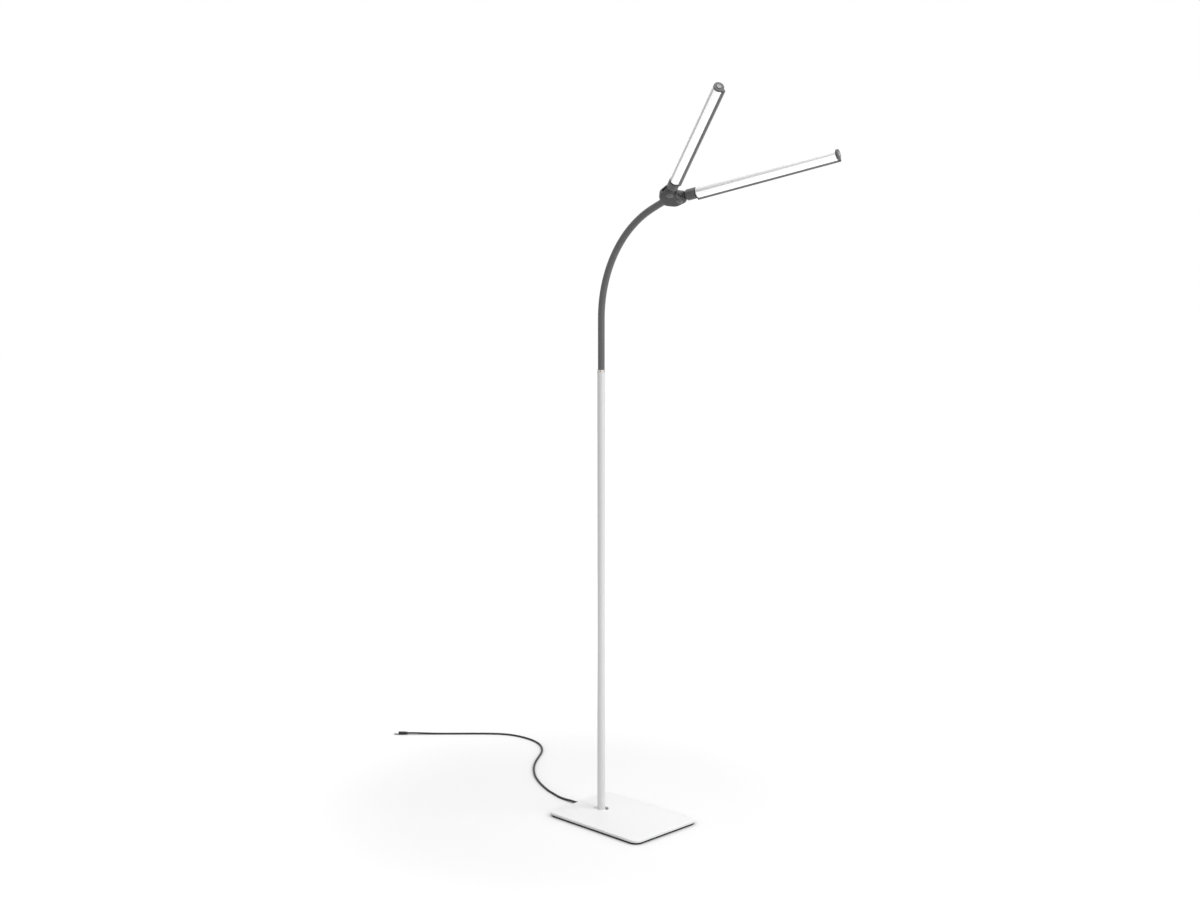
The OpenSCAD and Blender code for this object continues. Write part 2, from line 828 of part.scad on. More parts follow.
// Shouldered pivot pin with its head on the capped side
module pivot_pin(i) {
    color("silver")
        in_hub()
            translate([0, side_sign[i] * pivot_offset, -hub_half + running_gap]) {
                cylinder(d = pivot_head_diameter, h = pivot_head - running_gap);
                cylinder(d = pivot_diameter, h = hub_half + pivot_end - running_gap);
            }
}

// Domed cap that covers the head of the pivot pin
module pivot_cap(i) {
    r = cap_diameter / 2;
    dome = (r * r + cap_rise * cap_rise) / (2 * cap_rise);
    color([0.33, 0.33, 0.34])
        in_hub()
            translate([0, side_sign[i] * pivot_offset, -hub_half])
                intersection() {
                    translate([0, 0, dome - cap_rise]) sphere(dome);
                    translate([0, 0, -cap_rise - overrun]) cylinder(r = r, h = cap_rise + overrun);
                }
}

// A friction washer on each side of the knuckle
module friction_washers(i) {
    color("dimgray")
        in_hub()
            for (z = [-seat_half + running_gap / 2, knuckle_thickness / 2 + running_gap])
                translate([0, side_sign[i] * pivot_offset, z])
                    ring_of(
                        pivot_diameter / 2 + running_gap,
                        knuckle_radius,
                        friction_thickness + running_gap / 2);
}

// Arms

// Disc on the pivot, a tongue through the rim slot and the axle that the bar turns on
module knuckle(i) {
    half = knuckle_thickness / 2;
    color([0.3, 0.3, 0.31])
        in_arm(i)
            difference() {
                union() {
                    translate([0, 0, -half]) cylinder(r = knuckle_radius, h = knuckle_thickness);
                    translate([0, -tongue_half, -half])
                        cube([collar_start + collar_floor, 2 * tongue_half, knuckle_thickness]);
                    translate([collar_start + collar_floor / 2, 0, 0]) rotate([0, 90, 0])
                        cylinder(
                            r = axle_radius,
                            h = axle_end - collar_start - collar_floor / 2);
                }
                translate([0, 0, -half - overrun])
                    cylinder(
                        d = pivot_diameter + 2 * running_gap,
                        h = knuckle_thickness + 2 * overrun);
                translate([clip_start - running_gap, 0, 0]) rotate([0, 90, 0])
                    ring_of(clip_seat, axle_radius + overrun, clip_thickness + 2 * running_gap);
            }
}

// Cup on the knuckle that takes the bar's bush
module collar(i) {
    r = collar_diameter / 2;
    color([0.32, 0.32, 0.33])
        in_arm(i)
            difference() {
                translate([collar_start, 0, 0]) rotate([0, 90, 0])
                    rotate_extrude()
                        polygon([
                            [0, 0], [r - collar_chamfer, 0], [r, collar_chamfer],
                            [r, collar_end - collar_start], [0, collar_end - collar_start]]);
                translate([collar_start + collar_floor, 0, 0]) rotate([0, 90, 0])
                    cylinder(r = bush_radius + pass_gap, h = collar_end);
                translate([0, -tongue_half, -knuckle_thickness / 2])
                    cube([collar_start + collar_floor, 2 * tongue_half, knuckle_thickness]);
                translate([collar_start + collar_floor / 2, 0, 0]) rotate([0, 90, 0])
                    cylinder(r = axle_radius, h = collar_floor);
            }
}

// Open clip in the axle's groove that keeps the bar on
module axle_clip(i) {
    color("silver")
        in_arm(i)
            translate([clip_start, 0, 0]) rotate([0, 90, 0])
                difference() {
                    ring_of(clip_seat + running_gap, clip_radius, clip_thickness);
                    translate([0, -clip_seat / 2, -overrun])
                        cube([2 * clip_radius, clip_seat, clip_thickness + 2 * overrun]);
                }
}

// Bars

// Half width of the section at distance x from the axis, for a round side of radius r
function tail_edge(r, x) = (r - flank_depth - x * cos(flank_angle)) / sin(flank_angle);

// Angle at which a flank leaves the round side of radius r
function flank_root(r) = flank_angle - acos((r - flank_depth) / r);

// Section of a bar: a round side drawn out to an edge that ends at distance x
module teardrop(r, x) {
    root = flank_root(r);
    circle(r);
    polygon([
        [0, 0], r * [cos(root), -sin(root)], [x, -tail_edge(r, x)],
        [x, tail_edge(r, x)], r * [cos(root), sin(root)]]);
}

// Everything beyond the chord, on the diffuser's side
module beyond_chord(extra) {
    rotate([0, 0, chord_turn])
        translate([chord_reach + extra, -2 * tail_reach])
            square([2 * tail_reach, 4 * tail_reach]);
}

// Wall of the section, up to the rail
module bar_skin() {
    difference() {
        teardrop(bar_radius, rail_start);
        teardrop(bar_radius - bar_wall, rail_start + overrun);
    }
}

// Metal housing: the wall on the back and the web that carries the light board
module housing(i) {
    color("white")
        in_bar(i) {
            translate([0, 0, shell_start])
                linear_extrude(shell_end - shell_start)
                    difference() {
                        bar_skin();
                        beyond_chord(0);
                    }
            translate([0, 0, web_start])
                linear_extrude(shell_end - web_start)
                    intersection() {
                        teardrop(bar_radius - bar_wall / 2, rail_start);
                        difference() {
                            beyond_chord(-bar_wall);
                            beyond_chord(0);
                        }
                    }
        }
}

// Opal diffuser on the lit side
module diffuser(i) {
    color("ivory")
        in_bar(i)
            translate([0, 0, shell_start])
                linear_extrude(shell_end - shell_start)
                    intersection() {
                        bar_skin();
                        beyond_chord(0);
                    }
}

// Dark rail along the sharp edge
module rail(i) {
    color([0.4, 0.4, 0.4])
        in_bar(i)
            translate([0, 0, shell_start])
                linear_extrude(shell_end - shell_start)
                    difference() {
                        teardrop(bar_radius, tail_reach);
                        translate([-2 * tail_reach, -2 * tail_reach])
                            square([2 * tail_reach + rail_start, 4 * tail_reach]);
                    }
}

// Plate at the bar's inner end, with the bush that turns on the axle
module inner_cap_part(i) {
    bush_start = collar_start + collar_floor + pass_gap;
    color([0.2, 0.2, 0.21])
        in_bar(i)
            difference() {
                union() {
                    translate([0, 0, cap_start])
                        linear_extrude(inner_cap) teardrop(bar_radius, tail_reach);
                    translate([0, 0, bush_start])
                        cylinder(r = bush_radius, h = cap_start - bush_start + inner_cap);
                }
                translate([0, 0, bush_start - overrun])
                    cylinder(r = axle_radius + running_gap, h = bar_reach / 2);
            }
}

// Strip of light chips on the web
module light_board(i) {
    length = strip_end - web_start;
    color("lightyellow")
        in_bar(i)
            rotate([0, 0, chord_turn])
                translate([chord_reach, 0, web_start]) {
                    translate([0, -strip_width / 2, 0])
                        cube([board_thickness, strip_width, length]);
                    for (k = [0 : chip_count - 1])
                        translate([
                            board_thickness,
                            -chip_size[1] / 2,
                            chip_pitch * (k + 1) - chip_size[0] / 2])
                            cube([chip_size[2], chip_size[1], chip_size[0]]);
                }
}

// Cap at the tip, with a stepped seat for the button
module end_cap_part(i) {
    color([0.35, 0.35, 0.36])
        in_bar(i)
            difference() {
                translate([0, 0, shell_end])
                    linear_extrude(end_cap) teardrop(bar_radius, tail_reach);
                translate([0, 0, shell_end - overrun])
                    cylinder(r = button_radius + running_gap, h = end_cap + 2 * overrun);
                translate([0, 0, shell_end - overrun])
                    cylinder(r = button_pocket, h = button_floor - shell_end + overrun);
            }
}

// Push switch behind the button, on the web
module push_switch(i) {
    color("black")
        in_bar(i)
            rotate([0, 0, chord_turn])
                translate([-switch_width / 2, -switch_width / 2, switch_back])
                    cube([
                        switch_width / 2 + chord_reach - bar_wall,
                        switch_width,
                        switch_length]);
}

// Round push button with its flange and a small dimple
module button(i) {
    color("lightgray")
        in_bar(i)
            difference() {
                union() {
                    translate([0, 0, button_flange_low])
                        cylinder(r = button_radius, h = bar_reach + button_proud - button_flange_low);
                    translate([0, 0, button_flange_low])
                        cylinder(d = button_flange, h = button_flange_thickness);
                }
                translate([0, 0, bar_reach + button_proud - button_travel / 2])
                    cylinder(r = button_radius / 3.5, h = overrun);
            }
}

base_plate();
base_pad();
pole_tube();
pole_foot();
pole_nipple();
pole_washer();
pole_nut();
rim_pins();
supply_lead();
strain_relief();
power_cord();
connector_grip();
connector_barrel();
neck_root();
for (k = LINKS) {
    neck_link(k);
}
hub_lower_shell();
hub_upper_shell();
hub_screws();
wire_board();
for (i = [0, 1]) {
    pivot_pin(i);
    pivot_cap(i);
    friction_washers(i);
    knuckle(i);
    collar(i);
    axle_clip(i);
    inner_cap_part(i);
    housing(i);
    diffuser(i);
    rail(i);
    light_board(i);
    end_cap_part(i);
    push_switch(i);
    button(i);
}
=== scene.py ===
"""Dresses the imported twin-bar reading floor lamp: shells, sleeve, bars, cord and their finishes."""

import json
import logging
import math
from dataclasses import dataclass
from enum import Enum
from typing import ClassVar, Sequence

import bpy
from mathutils import Matrix, Vector


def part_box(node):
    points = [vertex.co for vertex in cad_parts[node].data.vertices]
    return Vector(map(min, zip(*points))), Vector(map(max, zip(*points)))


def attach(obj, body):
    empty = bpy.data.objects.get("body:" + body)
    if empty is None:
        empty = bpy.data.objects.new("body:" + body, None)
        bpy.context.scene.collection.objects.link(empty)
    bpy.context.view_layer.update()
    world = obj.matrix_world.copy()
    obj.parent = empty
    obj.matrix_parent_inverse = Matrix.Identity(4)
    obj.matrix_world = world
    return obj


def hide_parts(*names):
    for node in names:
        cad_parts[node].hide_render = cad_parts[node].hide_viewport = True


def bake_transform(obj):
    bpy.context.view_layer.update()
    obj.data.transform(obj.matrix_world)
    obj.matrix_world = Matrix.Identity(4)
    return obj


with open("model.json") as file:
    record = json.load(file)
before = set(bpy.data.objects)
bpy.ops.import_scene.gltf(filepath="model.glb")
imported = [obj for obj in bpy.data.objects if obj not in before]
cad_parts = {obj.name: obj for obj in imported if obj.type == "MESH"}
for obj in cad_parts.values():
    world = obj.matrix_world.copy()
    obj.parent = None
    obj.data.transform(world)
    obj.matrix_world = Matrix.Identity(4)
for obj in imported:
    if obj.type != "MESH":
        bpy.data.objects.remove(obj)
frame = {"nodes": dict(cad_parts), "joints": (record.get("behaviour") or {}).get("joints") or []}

LOG = logging.getLogger("floor_lamp")

Piece = bpy.types.Object
Tree = bpy.types.NodeTree
Socket = bpy.types.NodeSocket
Point = tuple[float, float]
Colour = tuple[float, float, float]
Inputs = dict[str | int, object]

MM = 0.001
# How far a cutter reaches past the face that it opens.
OVERRUN = 1.0 * MM
# Corners nearer to each other than this are one corner.
WELD = 1e-6
# Corners of a small rounding, and faces round a small and a large turned piece.
ROUND_STEPS, FEW_STEPS, MANY_STEPS = 4, 48, 96
WHITE = (1, 1, 1, 1)
JOINTS = {joint["name"]: joint for joint in frame["joints"]}


def select_only(piece: Piece) -> None:
    """Makes one object the only selected one, and the active one.

    Args:
        piece: The object to work on.
    """
    bpy.ops.object.select_all(action="DESELECT")
    piece.select_set(True)
    bpy.context.view_layer.objects.active = piece


def turn_about(axis: str, degrees: float) -> Matrix:
    """A turn about the axis "X", "Y" or "Z" by an angle in degrees."""
    return Matrix.Rotation(math.radians(degrees), 4, axis)


def apply_place(piece: Piece, place: Matrix) -> Piece:
    """Moves a piece to its place and writes the place into its mesh.

    Args:
        piece: The object to place.
        place: Its frame in the lamp's own frame.

    Returns:
        The same object, at the origin.
    """
    select_only(piece)
    piece.matrix_world = place @ piece.matrix_world
    bpy.ops.object.transform_apply(location=True, rotation=True, scale=True)
    return piece


def apply_modifier(piece: Piece, kind: str, **settings: object) -> None:
    """Adds a modifier, sets it up and applies it.

    Args:
        piece: The object to change.
        kind: The modifier's type.
        **settings: Its properties.
    """
    select_only(piece)
    modifier = piece.modifiers.new(kind.lower(), kind)
    for name, value in settings.items():
        setattr(modifier, name, value)
    bpy.ops.object.modifier_apply(modifier=modifier.name)


def cut(piece: Piece, *cutters: Piece, operation: str = "DIFFERENCE") -> None:
    """Cuts closed objects away from a piece, or fuses them to it, and removes them.

    Args:
        piece: The object to change.
        *cutters: The closed objects.
        operation: "DIFFERENCE" to cut, "UNION" to fuse.
    """
    for cutter in cutters:
        apply_modifier(piece, "BOOLEAN", operation=operation, solver="EXACT", object=cutter)
        bpy.data.objects.remove(cutter)


def soften(piece: Piece, width: float, steps: int = 2, angle: float = 40.0) -> None:
    """Rounds the edges of a piece that are sharper than an angle in degrees."""
    limit = math.radians(angle)
    apply_modifier(
        piece, "BEVEL", width=width, segments=steps, limit_method="ANGLE", angle_limit=limit
    )


def shade(piece: Piece, angle: float = 35.0) -> None:
    """Shades a piece smooth, but keeps edges that are sharper than an angle in degrees."""
    select_only(piece)
    bpy.ops.object.shade_smooth_by_angle(angle=math.radians(angle))


def weld_and_turn_out() -> None:
    """Merges doubles and turns all faces outwards, in edit mode."""
    bpy.ops.mesh.select_all(action="SELECT")
    bpy.ops.mesh.remove_doubles(threshold=WELD)
    bpy.ops.mesh.normals_make_consistent(inside=False)


def block(name: str, place: Matrix) -> Piece:
    """A box.

    Args:
        name: Name of the new object.
        place: Frame that makes it from a cube with sides of one metre.

    Returns:
        The box.
    """
    bpy.ops.object.select_all(action="DESELECT")
    bpy.ops.mesh.primitive_cube_add(size=1.0)
    piece = bpy.context.object
    piece.name = name
    return apply_place(piece, place)


def start_outline(name: str, points: Sequence[Vector]) -> Piece:
    """Draws a closed chain of edges by extruding one point, and stays in edit mode.

    Args:
        name: Name of the new object.
        points: Corners of the chain.

    Returns:
        The new object, with its whole chain selected.
    """
    bpy.ops.object.select_all(action="DESELECT")
    bpy.ops.mesh.primitive_plane_add(size=MM)
    piece = bpy.context.object
    piece.name = name
    bpy.ops.object.mode_set(mode="EDIT")
    bpy.ops.mesh.select_mode(type="VERT")
    bpy.ops.mesh.select_all(action="SELECT")
    bpy.ops.mesh.merge(type="CENTER")
    bpy.ops.transform.translate(value=points[0])
    for here, there in zip(points, [*points[1:], points[0]]):
        bpy.ops.mesh.extrude_region_move(TRANSFORM_OT_translate={"value": there - here})
    weld_and_turn_out()
    return piece


def prism(name: str, outline: Sequence[Point], low: float, high: float) -> Piece:
    """A closed outline, drawn flat, filled and extruded.

    Args:
        name: Name of the new object.
        outline: Corners of the outline in X and Y.
        low: Height of its lower face.
        high: Height of its upper face.

    Returns:
        The closed solid.
    """
    piece = start_outline(name, [Vector((x, y, low)) for x, y in outline])
    bpy.ops.mesh.edge_face_add()
    bpy.ops.mesh.extrude_region_move(TRANSFORM_OT_translate={"value": (0, 0, high - low)})
    weld_and_turn_out()
    bpy.ops.object.mode_set(mode="OBJECT")
    return piece


def turned(
    name: str,
    profile: Sequence[Point],
    steps: int = 64,
    first: float = 0.0,
    sweep: float = 360.0,
) -> Piece:
    """A profile of radius and height, spun about the Z axis.

    Args:
        name: Name of the new object.
        profile: Closed chain of corners, each a radius and a height.
        steps: Faces round the sweep.
        first: Angle at which the sweep starts, in degrees.
        sweep: Angle swept, in degrees.

    Returns:
        The closed solid.
    """
    piece = start_outline(name, [Vector((radius, 0, height)) for radius, height in profile])
    if sweep < 360.0:
        bpy.ops.mesh.edge_face_add()
    # The operator turns clockwise about its axis, so the axis points down.
    bpy.ops.mesh.spin(steps=steps, angle=math.radians(sweep), center=(0, 0, 0), axis=(0, 0, -1))
    weld_and_turn_out()
    bpy.ops.object.mode_set(mode="OBJECT")
    return apply_place(piece, turn_about("Z", first))


def arc(centre: Point, radius: float, start: float, end: float, steps: int) -> list[Point]:
    """Corners along an arc between two angles in degrees, one more than there are steps."""
    angles = [math.radians(start + (end - start) * i / steps) for i in range(steps + 1)]
    return [(centre[0] + radius * math.cos(a), centre[1] + radius * math.sin(a)) for a in angles]


def band(inner: float, outer: float, low: float, high: float) -> list[Point]:
    """Profile of a turned ring, or of a rod where the inner radius is 0."""
    return [(inner, low), (outer, low), (outer, high), (inner, high)]


def add_node(
    tree: Tree, kind: str, inputs: Inputs | None = None, **settings: object
) -> bpy.types.Node:
    """Adds a shader node.

    Args:
        tree: Where it goes.
        kind: Its type, without the words that all types start with.
        inputs: A value, or a socket to link, for its inputs.
        **settings: Its properties.

    Returns:
        The node.
    """
    node = tree.nodes.new("ShaderNode" + kind)
    for name, value in settings.items():
        setattr(node, name, value)
    set_inputs(tree, node, inputs or {})
    return node


def set_inputs(tree: Tree, node: bpy.types.Node, inputs: Inputs) -> None:
    """Sets or links inputs of a node.

    Args:
        tree: Where the node is.
        node: The node.
        inputs: A value, or a socket to link, for each input.
    """
    for name, value in inputs.items():
        if isinstance(value, Socket):
            tree.links.new(value, node.inputs[name])
        else:
            node.inputs[name].default_value = value


def combine(tree: Tree, operation: str, first: Socket, second: Socket) -> Socket:
    """Combines two numbers in a shader with a Math node."""
    return add_node(tree, "Math", {0: first, 1: second}, operation=operation).outputs[0]


class Grain(Enum):
    """What the surface of a finish looks like from near."""

    MOULDED = "moulded"
    COATED = "coated"
    DRAWN = "drawn"
    TURNED = "turned"
    OPAL = "opal"


class Effect:
    """Shader groups that several finishes share. Each is built once."""

    built: ClassVar[dict[str, Tree]] = {}

    @classmethod
    def grain(cls, name: str, stretch: float, fine: float, broad: float) -> Tree:
        """Fine grain and broad mottle.

        Args:
            name: Name of the group.
            stretch: Scale along Z, below 1 where the grain is drawn out into lines.
            fine: Octaves of the grain.
            broad: Octaves of the mottle.

        Returns:
            A group with the outputs Height and Mottle.
        """
        if name in cls.built:
            return cls.built[name]
        group = bpy.data.node_groups.new(name, "ShaderNodeTree")
        for label, kind in (("Vector", "Vector"), ("Scale", "Float"), ("Mottle Scale", "Float")):
            group.interface.new_socket(label, in_out="INPUT", socket_type=f"NodeSocket{kind}")
        for label in ("Height", "Mottle"):
            group.interface.new_socket(label, in_out="OUTPUT", socket_type="NodeSocketFloat")
        source, sink = group.nodes.new("NodeGroupInput"), group.nodes.new("NodeGroupOutput")
        vector = source.outputs["Vector"]
        if stretch < 1.0:
            scale = (1.0, 1.0, stretch)
            squeeze = add_node(group, "Mapping", {"Vector": vector, "Scale": scale})
            vector = squeeze.outputs["Vector"]
        for label, scale, octaves in (("Height", "Scale", fine), ("Mottle", "Mottle Scale", broad)):
            inputs = {"Vector": vector, "Scale": source.outputs[scale], "Detail": octaves}
            noise = add_node(group, "TexNoise", inputs)
            group.links.new(noise.outputs["Fac"], sink.inputs[label])
        cls.built[name] = group
        return group

    @classmethod
    def of(cls, grain: Grain) -> Tree:
        """The group for a kind of surface.

        Args:
            grain: The kind.

        Returns:
            Lines along Z for drawn and turned surfaces, and even grain for the others.
        """
        if grain in (Grain.DRAWN, Grain.TURNED):
            return cls.grain("streak", 0.01, 2.0, 3.0)
        return cls.grain("speckle", 1.0, 3.0, 4.0)


@dataclass(frozen=True)
class Finish:
    """One surface finish, with its grain at real size."""

    name: str  # Its name, which is also the record's slot
    colour: Colour  # Base colour, linear
    roughness: float  # Middle roughness
    grain: Grain = Grain.MOULDED  # Kind of surface
    metallic: float = 0.0  # Share of metal
    scale: float = 1200.0  # Grain lines or dots per metre
    depth: float = 0.03 * MM  # Height of the grain
    mottle: float = 0.06  # How far the colour varies
    mottle_scale: float = 30.0  # Patches of that variation per metre
    specular: float = 0.5  # Strength of the plain reflection
    # The only finish with glow is the diffuser's, where it is painted glow that brightens it in place
    # of light falling on it.
    glow: float = 0.0  # Strength of its own light

    made: ClassVar[dict[str, bpy.types.Material]] = {}  # The materials built so far, by label
    rough_spread: ClassVar[float] = 0.06  # How far the roughness varies
    rough_least: ClassVar[float] = 0.05  # Lowest roughness
    opal_share: ClassVar[float] = 0.2  # Share of light that passes into an opal surface
    opal_reach: ClassVar[float] = 3.0 * MM  # How deep it passes

    def material(self, turn: Matrix | None = None) -> bpy.types.Material:
        """Builds the material, once for each direction of its grain.

        Args:
            turn: Frame along whose Z the grain runs, or None for the lamp's own frame.

        Returns:
            The material.
        """
        label = self.name
        if turn is not None:
            label += "_" + "_".join(f"{round(100 * x)}" for x in turn.to_quaternion())
        if label in self.made:
            return self.made[label]
        material = bpy.data.materials.new(f"finish_{label}")
        self.made[label] = material
        material.use_nodes = True
        tree = material.node_tree
        shader = tree.nodes["Principled BSDF"]
        vector = add_node(tree, "TexCoord").outputs["Object"]
        if turn is not None:
            angles = turn.to_3x3().inverted().to_euler()
            mapping = add_node(tree, "Mapping", {"Vector": vector, "Rotation": angles})
            vector = mapping.outputs["Vector"]
        effect = tree.nodes.new("ShaderNodeGroup")
        effect.node_tree = Effect.of(self.grain)
        scales = {"Scale": self.scale, "Mottle Scale": self.mottle_scale}
        set_inputs(tree, effect, {"Vector": vector, **scales})
        height = {"Height": effect.outputs["Height"], "Distance": self.depth}
        inputs = {
            "Metallic": self.metallic,
            "Specular IOR Level": self.specular,
            "Emission Color": WHITE,
            "Emission Strength": self.glow,
            "Normal": add_node(tree, "Bump", height).outputs["Normal"],
            **self.mottled(tree, effect.outputs["Mottle"]),
        }
        if self.grain is Grain.OPAL:
            inputs["Subsurface Weight"] = self.opal_share
            inputs["Subsurface Radius"] = (self.opal_reach,) * 3
        set_inputs(tree, shader, inputs)
        return material

    def mottled(self, tree: Tree, mottle: Socket) -> Inputs:
        """Varies colour and roughness over the surface.

        Args:
            tree: The material's nodes.
            mottle: The value that they follow.

        Returns:
            The shader's inputs Base Color and Roughness.
        """
        ends = {
            "A": (*(c * (1 - self.mottle) for c in self.colour), 1),
            "B": (*(min(c * (1 + self.mottle), 1) for c in self.colour), 1),
        }
        mix = add_node(tree, "Mix", {"Factor": mottle, **ends}, data_type="RGBA")
        spread = {
            "To Min": max(self.roughness - self.rough_spread, self.rough_least),
            "To Max": min(self.roughness + self.rough_spread, 1.0),
        }
        rough = add_node(tree, "MapRange", {"Value": mottle, **spread})
        return {"Base Color": mix.outputs["Result"], "Roughness": rough.outputs["Result"]}


def grey(level: float) -> Colour:
    """A neutral colour from its display level.

    Args:
        level: Level from 0 to 255 as it shows on screen.

    Returns:
        The linear colour.
    """
    share = level / 255
    linear = ((share + 0.055) / 1.055) ** 2.4 if share > 0.04045 else share / 12.92
    return (linear, linear, linear)


WHITE_COAT = Finish(
    "white_coat", grey(252), 0.42, Grain.COATED, scale=900.0, depth=0.02 * MM, mottle=0.01
)
PAD_RUBBER = Finish("pad_rubber", grey(18), 0.75, scale=1500.0, mottle=0.12)
POLE_PAINT = Finish(
    "pole_paint", grey(232), 0.32, Grain.COATED,
    metallic=0.1, scale=1400.0, depth=0.01 * MM, mottle=0.012, specular=0.4,
)
PLAIN_STEEL = Finish("plain_steel", grey(170), 0.35, Grain.TURNED, metallic=1.0, mottle=0.08)
PLAIN_BRASS = Finish(
    "plain_brass", (0.45, 0.23, 0.1), 0.38, Grain.TURNED, metallic=1.0, mottle=0.1
)
CORD_JACKET = Finish("cord_jacket", grey(24), 0.55, scale=2500.0, depth=0.02 * MM, mottle=0.1)
BRIGHT_BARREL = Finish("bright_barrel", grey(205), 0.18, Grain.TURNED, metallic=1.0, mottle=0.04)
NECK_SLEEVE = Finish("neck_sleeve", grey(100), 0.5, scale=2200.0, depth=0.015 * MM, mottle=0.05)
HUB_PLASTIC = Finish("hub_plastic", grey(62), 0.5, scale=2600.0, depth=0.012 * MM, mottle=0.06)
KNUCKLE_GREY = Finish("knuckle_grey", grey(38), 0.5, scale=2600.0, depth=0.015 * MM, mottle=0.05)
# Lighter than the hub's grey: a painted highlight that stands in for the light on the pivot domes.
CAP_PLASTIC = Finish("cap_plastic", grey(98), 0.34, scale=2600.0, depth=0.015 * MM, mottle=0.05)
BAR_WHITE = Finish("bar_white", grey(250), 0.38, scale=2600.0, depth=0.008 * MM, mottle=0.01)
# The diffuser's glow is painted glow: it brightens the diffuser towards white in place of light
# falling on it.
OPAL = Finish(
    "opal", grey(250), 0.3, Grain.OPAL, scale=2600.0, depth=0.005 * MM, mottle=0.008, glow=0.46
)
RAIL_GREY = Finish(
    "rail_grey", grey(112), 0.4, Grain.DRAWN,
    metallic=0.35, depth=0.02 * MM, mottle=0.16, mottle_scale=260.0,
)
END_PLASTIC = Finish("end_plastic", grey(84), 0.45, scale=2600.0, depth=0.02 * MM, mottle=0.05)
BUTTON_SILVER = Finish("button_silver", grey(150), 0.3, scale=2200.0, depth=0.01 * MM, mottle=0.03)
BOARD_WHITE = Finish("board_white", grey(230), 0.5, scale=1500.0, mottle=0.03)
BOARD_GREEN = Finish("board_green", (0.02, 0.12, 0.05), 0.4, scale=1500.0, mottle=0.1)
WASHER_FIBRE = Finish("washer_fibre", (0.035, 0.033, 0.031), 0.8, scale=1100.0, mottle=0.15)
SWITCH_BLACK = Finish("switch_black", grey(28), 0.45, scale=1800.0, mottle=0.05)


class Workshop:
    """Hands a finished mesh over: finish, body and the nodes that it stands for."""

    @staticmethod
    def hand_over(
        piece: Piece,
        finish: Finish,
        body: str | tuple[str, str],
        replaces: Sequence[str],
        turn: Matrix | None = None,
        span: tuple[Vector, Vector] | None = None,
    ) -> None:
        """Dresses a new piece and ties it to the frame.

        Args:
            piece: The piece, finished in shape and place.
            finish: Its finish, which is also its record slot.
            body: The body it rides on, or the two bodies that it lies between, in which case its
                place is only written into its mesh.
            replaces: CAD nodes that it stands for.
            turn: Frame along whose Z the grain runs.
            span: Start and end of the bend, where there are two bodies; not used.
        """
        piece.data.materials.clear()
        piece.data.materials.append(finish.material(turn))
        if isinstance(body, str):
            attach(piece, body)
        else:
            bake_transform(piece)
        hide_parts(*replaces)
        corners = len(getattr(piece.data, "vertices", ()))
        LOG.info("%s on %s, %d vertices", piece.name, body, corners)

    @staticmethod
    def dress_node(node: str, finish: Finish, turn: Matrix | None = None) -> None:
        """Gives a CAD node that stays in view its finish.

        Args:
            node: Name of the node.
            finish: Its finish.
            turn: Frame along whose Z the grain runs.
        """
        mesh = frame["nodes"][node].data
        mesh.materials.clear()
        mesh.materials.append(finish.material(turn))
        LOG.info("%s dressed in %s", node, finish.name)


